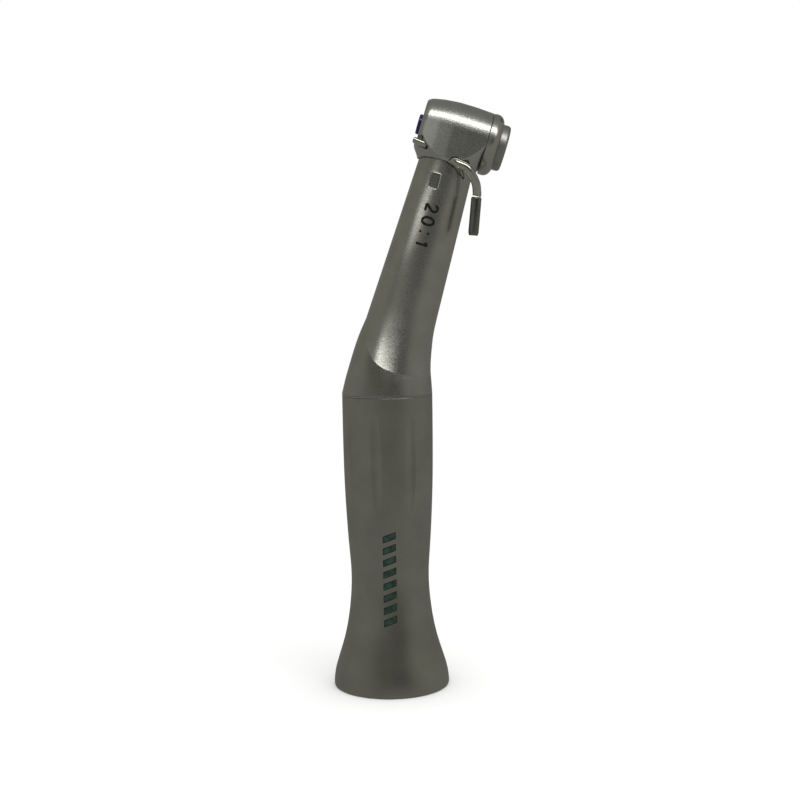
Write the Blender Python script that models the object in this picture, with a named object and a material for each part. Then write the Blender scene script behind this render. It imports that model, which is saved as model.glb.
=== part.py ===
# Contra-angle handpiece, 20:1 reduction: a stepped handle that fits a motor nose, a planetary stage, a bevel pair at the
# elbow, a shaft up the bent neck, a second bevel pair in the head, and a push-button chuck across the head.
# It stands on the rear face of its handle, +Z up the handle, with the neck bent towards +X.
# Lengths below are in millimetres; meshes are written in metres.

import math

import bmesh
import bpy
from mathutils import Matrix, Vector

# ------------------------------------------------------------------ driving dimensions (mm, degrees)
BEND_DEG = 17.0            # angle between handle and neck
BEND_Z = 54.55             # height of the point where the two axes cross
HEAD_T = 41.5              # from that point to the head's centre, along the neck
BASE_R = 10.0              # radius of the handle's rear flare
TOP_X = 21.588             # furthest the push button reaches from the handle's axis
AXIS_X = -(TOP_X - BASE_R) / 2   # the handle's axis, so that the box is centred on the origin

SEAM_Z = 50.60             # joint between handle and neck sheath
GAP = 0.05                 # clearance between pieces that seat on each other
BORE_R = 4.60              # socket for the motor's nose
SOCKET_DEPTH = 20.8

PLANET_M = 0.21            # planetary stage
SUN_T, PLANET_T, RING_T = 12, 18, 48
PLANETS = 3
STAGE_Z0, STAGE_Z1 = 29.5, 33.3
PLANET_C = PLANET_M * (SUN_T + PLANET_T) / 2

ELBOW_M, ELBOW_PINION_T, ELBOW_RING_T = 0.36, 10, 20
HEAD_M, HEAD_PINION_T, HEAD_GEAR_T = 0.40, 10, 20
PRESSURE = math.radians(24)
TOOTH_SHARE = 0.44         # tooth thickness as a share of the pitch, the rest is backlash
ADDENDUM, DEDENDUM = 0.85, 1.20

BUTTON_TRAVEL = 0.9

HANDLE = [(9.55, 0.0), (9.95, 0.12), (10.0, 0.45), (9.98, 1.33), (9.72, 2.76), (9.32, 4.19), (8.39, 7.05), (7.98, 8.47),
          (7.39, 11.32), (6.98, 14.16), (6.75, 16.99), (6.70, 19.6), (7.01, 24.05), (7.42, 31.0), (7.66, 37.5), (7.74, 46.4), (7.74, 50.25), (7.66, 50.40)]

MM = 0.001

# ------------------------------------------------------------------ scene and helpers
for old in list(bpy.data.objects):
    bpy.data.objects.remove(old, do_unlink=True)
for store in (bpy.data.meshes, bpy.data.curves, bpy.data.materials):
    for block in list(store):
        store.remove(block)

BEND = math.radians(BEND_DEG)
FRAMES = {
    "handle": Matrix.Translation(Vector((AXIS_X, 0, 0)) * MM),
    "neck": Matrix.Translation(Vector((AXIS_X, 0, BEND_Z)) * MM) @ Matrix.Rotation(BEND, 4, "Y"),
}
# The head's frame has z along the chuck, towards the button, and x down the neck.
FRAMES["head"] = FRAMES["neck"] @ Matrix.Translation(Vector((0, 0, HEAD_T)) * MM) @ Matrix.Rotation(math.radians(90), 4, "Y")

MATERIALS = {}


def material(name, colour, roughness=0.35, metallic=1.0):
    if name not in MATERIALS:
        mat = bpy.data.materials.new(name)
        mat.use_nodes = True
        shader = mat.node_tree.nodes["Principled BSDF"]
        shader.inputs["Base Color"].default_value = (*colour, 1)
        shader.inputs["Roughness"].default_value = roughness
        shader.inputs["Metallic"].default_value = metallic
        MATERIALS[name] = mat
    return MATERIALS[name]


def finish(name, bm, mat, frame, shift=(0, 0, 0), turn=0.0, helper=False, smooth=35):
    """Turns a bmesh into an object placed in one of the three frames."""
    bmesh.ops.remove_doubles(bm, verts=bm.verts, dist=1e-8)
    bmesh.ops.recalc_face_normals(bm, faces=bm.faces)
    if bm.calc_volume(signed=True) < 0:
        bmesh.ops.reverse_faces(bm, faces=bm.faces)
    mesh = bpy.data.meshes.new(name)
    bm.to_mesh(mesh)
    bm.free()
    mesh.shade_smooth()
    mesh.set_sharp_from_angle(angle=math.radians(smooth))
    obj = bpy.data.objects.new(name, mesh)
    bpy.context.scene.collection.objects.link(obj)
    obj.matrix_world = FRAMES[frame] @ Matrix.Translation(Vector(shift) * MM) @ Matrix.Rotation(turn, 4, "Z")
    if helper:
        obj.hide_render = True
        obj.display_type = "WIRE"
    else:
        mesh.materials.append(mat)
    return obj


def spin_profile(profile, seg):
    """A closed outline of (radius, height) turned about z."""
    bm = bmesh.new()
    verts = [bm.verts.new((r * MM, 0, z * MM)) for r, z in profile]
    edges = [bm.edges.new((verts[i], verts[(i + 1) % len(verts)])) for i in range(len(verts))]
    # An edge that lies on the axis sweeps no surface.
    axis = [e for e in edges if all(v.co.x < 1e-9 for v in e.verts)]
    swept = [e for e in edges if e not in axis]
    bmesh.ops.spin(bm, geom=verts + swept, cent=(0, 0, 0), axis=(0, 0, 1), dvec=(0, 0, 0), angle=2 * math.pi, steps=seg,
                   use_merge=True, use_duplicate=False)
    bmesh.ops.remove_doubles(bm, verts=bm.verts, dist=1e-8)
    loose = [e for e in bm.edges if not e.link_faces]
    bmesh.ops.delete(bm, geom=loose, context="EDGES")
    bmesh.ops.dissolve_degenerate(bm, edges=bm.edges, dist=1e-9)
    return bm


def turned(name, profile, mat, frame, seg=32, **kw):
    return finish(name, spin_profile(profile, seg), mat, frame, **kw)


def tube(name, r0, r1, z0, z1, mat, frame, seg=20, chamfer=0.0, **kw):
    c = chamfer
    prof = [(r0, z0), (r1 - c, z0), (r1, z0 + c), (r1, z1 - c), (r1 - c, z1), (r0, z1)] if c else [(r0, z0), (r1, z0), (r1, z1), (r0, z1)]
    return turned(name, prof, mat, frame, seg=seg, **kw)


def loft(rings, cap=True):
    """Rings of the same number of points, joined in order, with flat ends."""
    bm = bmesh.new()
    made = [[bm.verts.new(Vector(p) * MM) for p in ring] for ring in rings]
    n = len(rings[0])
    for low, high in zip(made, made[1:]):
        for i in range(n):
            j = (i + 1) % n
            bm.faces.new((low[i], low[j], high[j], high[i]))
    if cap:
        bm.faces.new(made[0][::-1])
        bm.faces.new(made[-1])
    return bm


def block(name, size, mat, frame, centre, helper=False, bevel=0.0, rot=None):
    bm = bmesh.new()
    bmesh.ops.create_cube(bm, size=1.0)
    bmesh.ops.scale(bm, verts=bm.verts, vec=Vector(size) * MM)
    if bevel:
        bmesh.ops.bevel(bm, geom=list(bm.edges), offset=bevel * MM, segments=2, profile=0.5, affect="EDGES")
    if rot is not None:
        bmesh.ops.transform(bm, verts=bm.verts, matrix=rot)
    return finish(name, bm, mat, frame, shift=centre, helper=helper)


def boolean(obj, other, operation="DIFFERENCE"):
    mod = obj.modifiers.new(operation.lower(), "BOOLEAN")
    mod.object = other
    mod.operation = operation
    mod.solver = "EXACT"
    return mod


def involute(a):
    return math.tan(a) - a


def half_tooth(radius, teeth, rho, share):
    """Half the angle that a tooth covers at rho, for a pitch circle of this radius."""
    base = radius * math.cos(PRESSURE)
    at = math.acos(min(1.0, base / max(rho, base)))
    return share * math.pi / teeth + involute(PRESSURE) - involute(at)


def spur_outline(teeth, m, share, add, ded, phase=0.0, coarse=False):
    """Points of a spur gear, or of the plug that cuts an internal one; a tooth is centred on phase."""
    r = teeth * m / 2
    low, high = r - ded * m, r + add * m
    points = []
    for k in range(teeth):
        mid = phase + 2 * math.pi * k / teeth
        steps = [low, high] if coarse else [low, r, high]
        flank = [(rho, half_tooth(r, teeth, rho, share)) for rho in steps]
        points += [(rho * math.cos(mid - h), rho * math.sin(mid - h)) for rho, h in flank]
        points += [(rho * math.cos(mid + h), rho * math.sin(mid + h)) for rho, h in reversed(flank)]
    return points


def spur_gear(name, teeth, m, z0, z1, mat, frame, bore, phase=0.0, shift=(0, 0, 0), hub=None):
    outline = spur_outline(teeth, m, TOOTH_SHARE, ADDENDUM, DEDENDUM, phase, coarse=True)
    bm = loft([[(x, y, z0) for x, y in outline], [(x, y, z1) for x, y in outline]])
    gear = finish(name, bm, mat, frame, shift=shift, smooth=25)
    if bore:
        drill = tube(name + "_bore", 0.0, bore, z0 - 1, z1 + 1, None, frame, seg=16, shift=shift, helper=True)
        boolean(gear, drill)
    return gear


def bevel_rings(teeth, m, delta, depth, share, add, ded, phase=0.0, extend=0.0, coarse=False):
    """Large-end and small-end outlines of a straight bevel gear whose apex is the origin and which opens towards -z.
    Teeth follow the equivalent spur gear of the back cone, and every point runs straight to the apex."""
    r = teeth * m / 2
    length = r / math.sin(delta)
    rv, tv = r / math.cos(delta), teeth / math.cos(delta)
    large = []
    for k in range(teeth):
        mid = phase + 2 * math.pi * k / teeth
        flank = []
        for h in ((-ded * m, add * m) if coarse else (-ded * m, 0.0, add * m)):
            rho = rv + h
            radius = r + h * math.cos(delta)
            flank.append((radius, -(length * math.cos(delta) - h * math.sin(delta)), half_tooth(rv, tv, rho, share) * rho / radius))
        large += [(q * math.cos(mid - w), q * math.sin(mid - w), z) for q, z, w in flank]
        large += [(q * math.cos(mid + w), q * math.sin(mid + w), z) for q, z, w in reversed(flank)]
    up, down = 1 + extend / length, (length - depth) / length
    return [[(x * up, y * up, z * up) for x, y, z in large], [(x * down, y * down, z * down) for x, y, z in large]], length


def ring_of(n, radius, z, like=None):
    """A circle with the same number of points as a tooth outline, each at the angle of its own tooth point."""
    angles = [math.atan2(y, x) for x, y, _ in like]
    return [(radius * math.cos(t), radius * math.sin(t), z) for t in angles]


STEEL = material("steel_satin", (0.42, 0.42, 0.39), 0.34)
DARK = material("steel_dark", (0.27, 0.275, 0.25), 0.36)
BRIGHT = material("steel_bright", (0.62, 0.60, 0.55), 0.16)
GEAR = material("gear_steel", (0.48, 0.47, 0.45), 0.28)
SHAFT = material("shaft_steel", (0.56, 0.56, 0.55), 0.22)
RACE = material("bearing_steel", (0.62, 0.62, 0.62), 0.15)
CAGE = material("cage_polymer", (0.42, 0.30, 0.16), 0.5, 0.0)
BRASS = material("bush_bronze", (0.62, 0.42, 0.20), 0.35)
RUBBER = material("seal_rubber", (0.03, 0.03, 0.03), 0.6, 0.0)
BLUE = material("ring_blue", (0.02, 0.04, 0.30), 0.3, 0.2)
SPRING = material("spring_steel", (0.5, 0.5, 0.5), 0.25)

# ------------------------------------------------------------------ handle
def table(rows, x):
    """The value at x in rows of (x, value), straight between them."""
    if x <= rows[0][0]:
        return rows[0][1]
    for (x0, v0), (x1, v1) in zip(rows, rows[1:]):
        if x <= x1:
            return v0 + (v1 - v0) * (x - x0) / (x1 - x0)
    return rows[-1][1]


# Grip flutes: shallow spindle-shaped scallops round the front of the handle. Each is a cylinder's worth of metal
# taken off along a bowed path, so its edges are two arcs that meet in a point at either end.
FLUTES, FLUTE_FIRST, FLUTE_MID, FLUTE_HALF = 8, -105.0, 39.3, 8.4
FLUTE_DEEP, FLUTE_WIDE = 0.28, 0.92
OUTLINE = sorted((z, r) for r, z in HANDLE)
ROWS = sorted([z for r, z in HANDLE if abs(z - FLUTE_MID) > FLUTE_HALF + 0.3] + [FLUTE_MID + FLUTE_HALF * s for s in (-1, -0.9, -0.72, -0.45, -0.15, 0.15, 0.45, 0.72, 0.9, 1)])
EVEN = [-0.44, -0.22, 0.0, 0.22, 0.44]


def handle_ring(radius, z):
    """One row of the handle, its columns drawn to the flutes' edges."""
    deep = FLUTE_DEEP * (1 - ((z - FLUTE_MID) / FLUTE_HALF) ** 2) if radius is None else -1.0
    r = table(OUTLINE, z) if radius is None else radius
    edge = FLUTE_WIDE * math.sqrt(max(deep, 0.0) / FLUTE_DEEP)
    edge = max(edge, 0.14) if deep > -1e-6 else 1.2
    ring = []
    for k in range(FLUTES):
        mid = math.radians(FLUTE_FIRST + 360 / FLUTES * k)
        for share in (-1.0, -0.5, 0.0, 0.5, 1.0):
            arc = share * edge
            low = max(0.0, deep - (arc / FLUTE_WIDE) ** 2 * FLUTE_DEEP) if deep > 0 else 0.0
            ring.append(((r - low) * math.cos(mid + arc / r), (r - low) * math.sin(mid + arc / r), z))
        rest = 2 * math.pi / FLUTES - 2 * edge / r
        for share in (0.3, 0.7):
            turn = mid + edge / r + rest * share
            ring.append((r * math.cos(turn), r * math.sin(turn), z))
    return ring


inner = [(6.90, SEAM_Z - 0.20), (6.90, 47.4), (6.30, 47.4), (6.30, 25.4), (6.05, 25.4), (6.05, 4.2), (8.20, 1.2), (8.20, 0.0)]
bm = loft([handle_ring(None, z) for z in ROWS] + [handle_ring(r, z) for r, z in inner], cap=False)
bm.verts.ensure_lookup_table()
count = FLUTES * 7
first, last = list(bm.verts)[:count], list(bm.verts)[-count:]
for i in range(count):
    bm.faces.new((last[i], last[(i + 1) % count], first[(i + 1) % count], first[i]))
handle_sheath = finish("handle_sheath", bm, DARK, "handle", smooth=24)

# Thin spacer ring in the joint between handle and neck.
tube("sheath_spacer_ring", 6.95, 7.72, SEAM_Z - 0.15, SEAM_Z, BRIGHT, "handle", seg=28)

# Socket for the motor's nose, with a snap ring in its groove.
turned("coupling_tube", [(BORE_R + 0.35, 2.0), (5.98, 2.0), (5.98, 24.9), (2.9, 24.9), (2.9, 2.0 + SOCKET_DEPTH), (BORE_R, 2.0 + SOCKET_DEPTH),
                         (BORE_R, 8.4), (5.15, 8.4), (5.15, 7.3), (BORE_R, 7.3), (BORE_R, 2.6)], STEEL, "handle", seg=28)


def open_ring(name, r0, r1, z0, z1, gap_deg, mat, frame, seg=20, shift=(0, 0, 0)):
    """A flat ring with a gap, such as a snap ring or a circlip."""
    a0, a1 = math.radians(gap_deg / 2), math.radians(360 - gap_deg / 2)
    rings = []
    for i in range(seg + 1):
        t = a0 + (a1 - a0) * i / seg
        c, s = math.cos(t), math.sin(t)
        rings.append([(r0 * c, r0 * s, z0), (r1 * c, r1 * s, z0), (r1 * c, r1 * s, z1), (r0 * c, r0 * s, z1)])
    return finish(name, loft(rings), mat, frame, shift=shift)


open_ring("coupling_snap_ring", 4.42, 5.05, 7.45, 8.25, 40, SPRING, "handle")

# ------------------------------------------------------------------ planetary stage
# The sleeve carries the fixed ring gear and the input bearing.
turned("gearbox_sleeve", [(3.35, 25.5), (6.22, 25.5), (6.22, 47.0), (5.75, 47.0), (5.75, 28.9), (3.35, 28.9)], STEEL, "handle", seg=28)
ring_gear = tube("ring_gear", 3.6, 5.68, STAGE_Z0 - 0.3, STAGE_Z1 + 0.3, GEAR, "handle", seg=28)
plug = spur_outline(RING_T, PLANET_M, 1 - TOOTH_SHARE, DEDENDUM, ADDENDUM, phase=math.pi / RING_T, coarse=True)
boolean(ring_gear, finish("ring_gear_teeth", loft([[(x, y, STAGE_Z0 - 1) for x, y in plug], [(x, y, STAGE_Z1 + 1) for x, y in plug]]),
                          None, "handle", helper=True))

# Input shaft with the sun gear cut on its end, and the clutch dog that the motor turns.
outline = spur_outline(SUN_T, PLANET_M, TOOTH_SHARE, ADDENDUM, DEDENDUM, coarse=True)
sun = finish("input_shaft", loft([[(x, y, STAGE_Z0 - 0.1) for x, y in outline], [(x, y, STAGE_Z1 + 0.1) for x, y in outline]]),
             SHAFT, "handle", smooth=25)
stem = turned("input_stem", [(0, 18.4), (0.75, 18.4), (0.75, 23.3), (1.15, 23.3), (1.15, 28.7), (0.93, 28.9), (0.93, STAGE_Z0 + 0.5), (0, STAGE_Z0 + 0.5)],
              None, "handle", seg=16, helper=True)
boolean(sun, stem, "UNION")

dog = turned("drive_dog", [(0.80, 15.2), (1.75, 15.2), (1.95, 15.4), (1.95, 21.6), (0.80, 21.6)], SHAFT, "handle", seg=20)
boolean(dog, block("drive_dog_slot", (1.0, 4.4, 2.6), None, "handle", (0, 0, 15.6), helper=True))
tube("input_circlip", 0.80, 1.55, 22.0, 22.5, SPRING, "handle", seg=20)

for k in range(PLANETS):
    angle = 2 * math.pi * k / PLANETS
    at = (PLANET_C * math.cos(angle), PLANET_C * math.sin(angle), 0)
    spur_gear(f"planet_gear_{k + 1}", PLANET_T, PLANET_M, STAGE_Z0, STAGE_Z1, GEAR, "handle", 0.66, phase=angle + math.pi + math.pi / PLANET_T, shift=at)
    turned(f"planet_pin_{k + 1}", [(0, STAGE_Z0 - 0.1), (0.50, STAGE_Z0 - 0.1), (0.60, STAGE_Z0), (0.60, 35.4), (0, 35.4)], SHAFT, "handle", seg=12, shift=at)

carrier = turned("planet_carrier", [(1.06, 34.0), (4.55, 34.0), (4.70, 34.15), (4.70, 35.6), (2.2, 35.6), (2.2, 37.2), (1.06, 37.2)], GEAR, "handle", seg=24)
for k in range(PLANETS):
    angle = 2 * math.pi * k / PLANETS
    at = (PLANET_C * math.cos(angle), PLANET_C * math.sin(angle), 0)
    boolean(carrier, tube(f"carrier_hole_{k + 1}", 0.0, 0.65, 33.5, 36.2, None, "handle", seg=12, shift=at, helper=True))

# Output shaft of the stage, carried by two bronze bushes.
turned("main_shaft", [(0, 34.3), (1.0, 34.3), (1.0, 37.5), (1.45, 37.5), (1.45, 46.6), (0.85, 46.6), (0.85, 49.2), (0, 49.2)], SHAFT, "handle", seg=16)
turned("rear_bush", [(1.52, 38.2), (5.70, 38.2), (5.70, 39.4), (2.4, 39.4), (2.4, 40.6), (1.52, 40.6)], BRASS, "handle", seg=20)
turned("front_bush", [(1.52, 43.0), (2.4, 43.0), (5.70, 43.0), (5.70, 44.2), (2.4, 44.2), (2.4, 46.3), (1.52, 46.3)], BRASS, "handle", seg=20)

# ------------------------------------------------------------------ elbow bevel pair, apex where the axes cross
SIGMA = BEND
elbow_d1 = math.atan(math.sin(SIGMA) / (ELBOW_RING_T / ELBOW_PINION_T - math.cos(SIGMA)))
elbow_d2 = elbow_d1 + SIGMA
rings, elbow_len = bevel_rings(ELBOW_PINION_T, ELBOW_M, elbow_d1, 1.9, TOOTH_SHARE, ADDENDUM, DEDENDUM, coarse=True)
back = rings[0][0][2]
bm = loft([ring_of(0, 1.25, min(p[2] for p in rings[0]) - 0.5, rings[0]), rings[0], rings[1]])
pinion = finish("elbow_pinion", bm, GEAR, "handle", shift=(0, 0, BEND_Z), smooth=25)
boolean(pinion, tube("elbow_pinion_bore", 0.0, 0.90, -8.5, -3.0, None, "handle", seg=16, shift=(0, 0, BEND_Z), helper=True))

cup_z = -elbow_len * math.cos(elbow_d2)
ring_r = ELBOW_RING_T * ELBOW_M / 2
cup = turned("elbow_ring_gear", [(1.25, -3.05), (3.0, -3.05), (3.4, -3.3), (ring_r + 0.78, cup_z - 0.13), (ring_r + 0.60, cup_z - 0.38),
                                 (2.0, cup_z - 0.38), (2.0, -3.7), (1.25, -3.7)], GEAR, "neck", seg=24)
rings, _ = bevel_rings(ELBOW_RING_T, ELBOW_M, elbow_d2, 2.25, 1 - TOOTH_SHARE, DEDENDUM, ADDENDUM, extend=0.8, coarse=True)
boolean(cup, finish("elbow_ring_teeth", loft(rings), None, "neck", helper=True))

# Shaft up the neck, with its bearing and front bush, and the head's bevel pinion.
head_d1 = math.atan2(HEAD_PINION_T, HEAD_GEAR_T)
head_d2 = math.pi / 2 - head_d1
HEAD_PITCH_V = -HEAD_GEAR_T * HEAD_M / 2      # pinion's large end, below the head's centre
turned("neck_shaft", [(0, -3.6), (1.2, -3.6), (1.2, HEAD_T - 5.6), (0.9, HEAD_T - 5.6), (0.9, HEAD_T - 3.0), (0, HEAD_T - 3.0)], SHAFT, "neck", seg=16)
tube("neck_shaft_spacer", 1.25, 1.9, -2.9, 1.7, STEEL, "neck", seg=16)
tube("neck_front_bush", 1.25, 2.55, HEAD_T - 8.9, HEAD_T - 6.3, BRASS, "neck", seg=20)

rings, head_len = bevel_rings(HEAD_PINION_T, HEAD_M, head_d1, 1.45, TOOTH_SHARE, ADDENDUM, DEDENDUM, coarse=True)
bm = loft([ring_of(0, 1.5, min(p[2] for p in rings[0]) - 0.7, rings[0]), rings[0], rings[1]])
head_pinion = finish("head_pinion", bm, GEAR, "neck", shift=(0, 0, HEAD_T), smooth=25)
boolean(head_pinion, tube("head_pinion_bore", 0.0, 0.95, -6.5, -2.0, None, "neck", seg=16, shift=(0, 0, HEAD_T), helper=True))

# ------------------------------------------------------------------ neck sheath: a cone on the handle's axis running into a leaning cone
LEFT = [(50.65, 7.68), (50.85, 7.74), (51.9, 7.49), (53.27, 7.14), (54.64, 6.73), (56.0, 6.35), (57.4, 5.84), (58.75, 5.42), (60.1, 4.95), (61.5, 4.38), (63.3, 3.53)]
RIGHT = [(50.65, 7.68), (50.85, 7.72), (51.9, 7.63), (53.27, 7.55), (54.64, 7.50), (56.0, 7.2), (57.4, 6.7), (58.75, 6.0), (60.1, 5.2), (61.5, 4.4), (63.3, 3.5)]
FLARE = [(-3.0, 2.0), (0.0, 1.72), (0.98, 1.43), (2.28, 1.04), (3.59, 0.74), (4.97, 0.50), (6.31, 0.30), (7.63, 0.12), (9.06, 0.03), (11.0, 0.0)]


def neck_radius(t):
    return min(6.20, 5.83 + 0.0415 * (9 - t))


def lean_radius(t, phi):
    return neck_radius(t) + table(FLARE, t) * ((1 + math.cos(phi)) / 2) ** 1.6


SEG = 32
TURNS = [2 * math.pi * i / SEG for i in range(SEG)]
low_rings = []
for z, left in LEFT:
    ring = []
    for a in TURNS:
        r = left + (table(RIGHT, z) - left) * ((1 + math.cos(a)) / 2) ** 3
        ring.append((r * math.cos(a), r * math.sin(a), z))
    low_rings.append(ring)
elbow = finish("elbow_cone", loft(low_rings), None, "handle", helper=True)

base = []
for a in TURNS:
    t = -3.0
    for _ in range(20):
        t = (50.9 - BEND_Z + lean_radius(t, a) * math.cos(a) * math.sin(BEND)) / math.cos(BEND)
    base.append(t)
lean_rings = []
for share in (0.0, 0.4, 0.75):
    ring = []
    for a, t0 in zip(TURNS, base):
        t = t0 + (2.0 - t0) * share
        r = lean_radius(t, a)
        ring.append((r * math.cos(a), r * math.sin(a), t))
    lean_rings.append(ring)
for t in (2.0, 3.6, 5.0, 6.6, 9.0, 16.0, 36.9):
    lean_rings.append([(lean_radius(t, a) * math.cos(a), lean_radius(t, a) * math.sin(a), t) for a in TURNS])
neck_sheath = finish("neck_sheath", loft(lean_rings), STEEL, "neck")
boolean(neck_sheath, elbow, "UNION")
boolean(neck_sheath, turned("neck_spigot", [(0, 47.8), (6.78, 47.8), (6.85, 47.9), (6.85, 51.2), (0, 51.2)], None, "handle", seg=32, helper=True), "UNION")
boolean(neck_sheath, turned("neck_rear_bore", [(0, 46.5), (6.25, 46.5), (6.25, 50.9), (0, 50.9)], None, "handle", seg=24, helper=True))
boolean(neck_sheath, turned("neck_bore", [(0, -9.0), (4.65, -9.0), (4.65, -2.6), (3.80, -1.9), (3.80, 39.5), (0, 39.5)], None, "neck", seg=24, helper=True))
# The neck ends in a saddle that the head's collar sits in.
SADDLE_R, SADDLE_C = 15.0, 9.38
saddle = turned("saddle_cutter", [(0, -9), (SADDLE_R + 0.02, -9), (SADDLE_R + 0.02, 9), (0, 9)], None, "head", seg=60, shift=(-SADDLE_C, 0, 0), helper=True)
boolean(neck_sheath, saddle)
# Keyed window on the near side of the neck, holding the lock key.
WINDOW = (HEAD_T - 8.6, -1.20)    # along the neck, and across it
boolean(neck_sheath, block("window_cutter", (1.35, 2.35, 2.5), None, "neck", (WINDOW[1], -5.125, WINDOW[0]), helper=True))
block("lock_key", (1.25, 0.28, 2.4), STEEL, "neck", (WINDOW[1], -4.14, WINDOW[0]))

# ------------------------------------------------------------------ head
BARREL = [(-5.95, 3.95), (-5.75, 4.39), (-5.16, 4.74), (-3.16, 5.12), (-0.6, 5.34), (2.04, 5.33), (4.72, 5.18), (5.38, 5.15)]
COLLAR = [(-5.9, 4.72), (-4.77, 5.32), (-4.2, 5.80), (-3.46, 6.26), (-1.9, 7.06), (-0.5, 7.7), (0.6, 8.6), (7.0, 9.0)]     # height above the head's axis, radius
sections = []
for u, w in BARREL:
    arc = [(-w * math.cos(t), w * math.sin(t), u) for t in [math.pi / 2 * (k / 7) for k in range(-7, 8)]]
    sections.append([(6.4, -w, u)] + arc + [(6.4, w, u)])
head = finish("head_housing", loft(sections), STEEL, "head")
flare = turned("collar_flare", [(0, COLLAR[0][0] - 0.4)] + [(COLLAR[0][1], COLLAR[0][0] - 0.4)] + [(r, v) for v, r in COLLAR] + [(0, COLLAR[-1][0])],
               None, "neck", seg=36, shift=(0, 0, HEAD_T), helper=True)
boolean(head, flare, "INTERSECT")
chin = turned("collar_chin", [(0, -6.3), (4.72, -6.3), (4.72, -5.9), (5.32, -4.77), (5.80, -4.2), (6.26, -3.46), (6.26, -2.75), (0, -2.75)], None, "neck", seg=40, shift=(0, 0, HEAD_T), helper=True)
boolean(chin, block("chin_box", (7.0, 7.8, 8.0), None, "neck", (-4.0, 0, HEAD_T - 4.0), helper=True), "INTERSECT")
boolean(head, chin, "UNION")
seat = turned("saddle_seat", [(0, -8.5), (SADDLE_R - 0.03, -8.5), (SADDLE_R - 0.03, 8.5), (0, 8.5)], None, "head", seg=60, shift=(-SADDLE_C, 0, 0), helper=True)
boolean(head, seat, "INTERSECT")
boolean(head, turned("head_spigot", [(0, -9.2), (3.62, -9.2), (3.72, -9.1), (3.72, -3.2), (0, -3.2)], None, "neck", seg=24, shift=(0, 0, HEAD_T), helper=True), "UNION")
boolean(head, turned("spindle_bore", [(0, -6.6), (2.65, -6.6), (2.65, -5.15), (4.25, -5.15), (4.25, -2.95), (4.50, -2.95), (4.50, 5.9), (0, 5.9)], None, "head", seg=28, helper=True))
boolean(head, turned("pinion_bore", [(0, -10), (2.60, -10), (2.60, 0.0), (0, 0.0)], None, "neck", seg=24, shift=(0, 0, HEAD_T), helper=True))

# Chuck spindle, gear, collet and its seal.
spindle = turned("chuck_spindle", [(1.45, -5.90), (1.72, -5.90), (1.72, -5.25), (2.0, -5.25), (2.0, 5.1), (1.45, 5.1)], SHAFT, "head", seg=20)
turned("chuck_collet", [(1.19, -5.6), (1.40, -5.6), (1.40, 3.4), (1.19, 3.4)], SPRING, "head", seg=16)
turned("colour_ring", [(1.30, -6.55), (1.55, -6.55), (1.70, -6.40), (1.70, -5.95), (1.30, -5.95)], BLUE, "head", seg=20)
tube("front_seal", 1.78, 2.60, -5.85, -5.35, RUBBER, "head", seg=16)
rings, _ = bevel_rings(HEAD_GEAR_T, HEAD_M, head_d2, 1.45, TOOTH_SHARE, ADDENDUM, DEDENDUM, phase=math.pi / HEAD_GEAR_T, coarse=True)
flip = Matrix.Rotation(math.pi, 4, "X")
rings = [[tuple(flip @ Vector(p)) for p in ring] for ring in rings]
far = max(p[2] for p in rings[0])
bm = loft([ring_of(0, 3.2, 3.15, rings[0]), ring_of(0, 3.95, far + 0.25, rings[0]), rings[0], rings[1]])
spindle_gear = finish("spindle_gear", bm, GEAR, "head", smooth=25)
boolean(spindle_gear, tube("spindle_gear_bore", 0.0, 2.05, -1, 4.5, None, "head", seg=24, helper=True))

# Cap, push button, its spring and the pusher that opens the collet.
cap = turned("head_cap", [(4.20, 5.02), (4.45, 5.02), (4.45, 5.44), (5.14, 5.44), (5.22, 5.9), (5.20, 6.4), (5.02, 6.85), (4.70, 7.18), (4.25, 7.42), (3.94, 7.50),
                          (3.94, 6.95), (4.20, 6.85)], STEEL, "head", seg=28)
boolean(cap, block("spanner_slot", (0.7, 3.0, 1.2), None, "head", (-4.55, -3.4, 7.1), helper=True, rot=Matrix.Rotation(math.radians(-40), 4, "Z")))
turned("push_button", [(0, 6.12), (4.10, 6.12), (4.10, 6.80), (3.87, 6.86), (3.87, 8.45), (3.62, 8.78), (3.2, 8.85), (2.8, 8.74), (0, 8.74)], STEEL, "head", seg=28)
turned("chuck_pusher", [(0, 4.45), (0.95, 4.45), (1.20, 4.7), (1.20, 6.07), (0, 6.07)], SHAFT, "head", seg=16)
tube("spring_seat", 2.3, 4.40, 4.72, 4.92, STEEL, "head", seg=16)

bm = None
coil = bpy.data.curves.new("button_spring", "CURVE")
coil.dimensions = "3D"
TURNS_N, COIL_R, WIRE_R = 1.75, 3.1, 0.15
spline = coil.splines.new("POLY")
count = 26
spline.points.add(count - 1)
for i in range(count):
    t = i / (count - 1)
    a = 2 * math.pi * TURNS_N * t
    spline.points[i].co = (COIL_R * math.cos(a) * MM, COIL_R * math.sin(a) * MM, (5.12 + 0.82 * t) * MM, 1)
coil.bevel_depth = WIRE_R * MM
coil.bevel_resolution = 1
coil.use_fill_caps = True
spring = bpy.data.objects.new("button_spring", coil)
bpy.context.scene.collection.objects.link(spring)
spring.matrix_world = FRAMES["head"]
coil.materials.append(SPRING)


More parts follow.
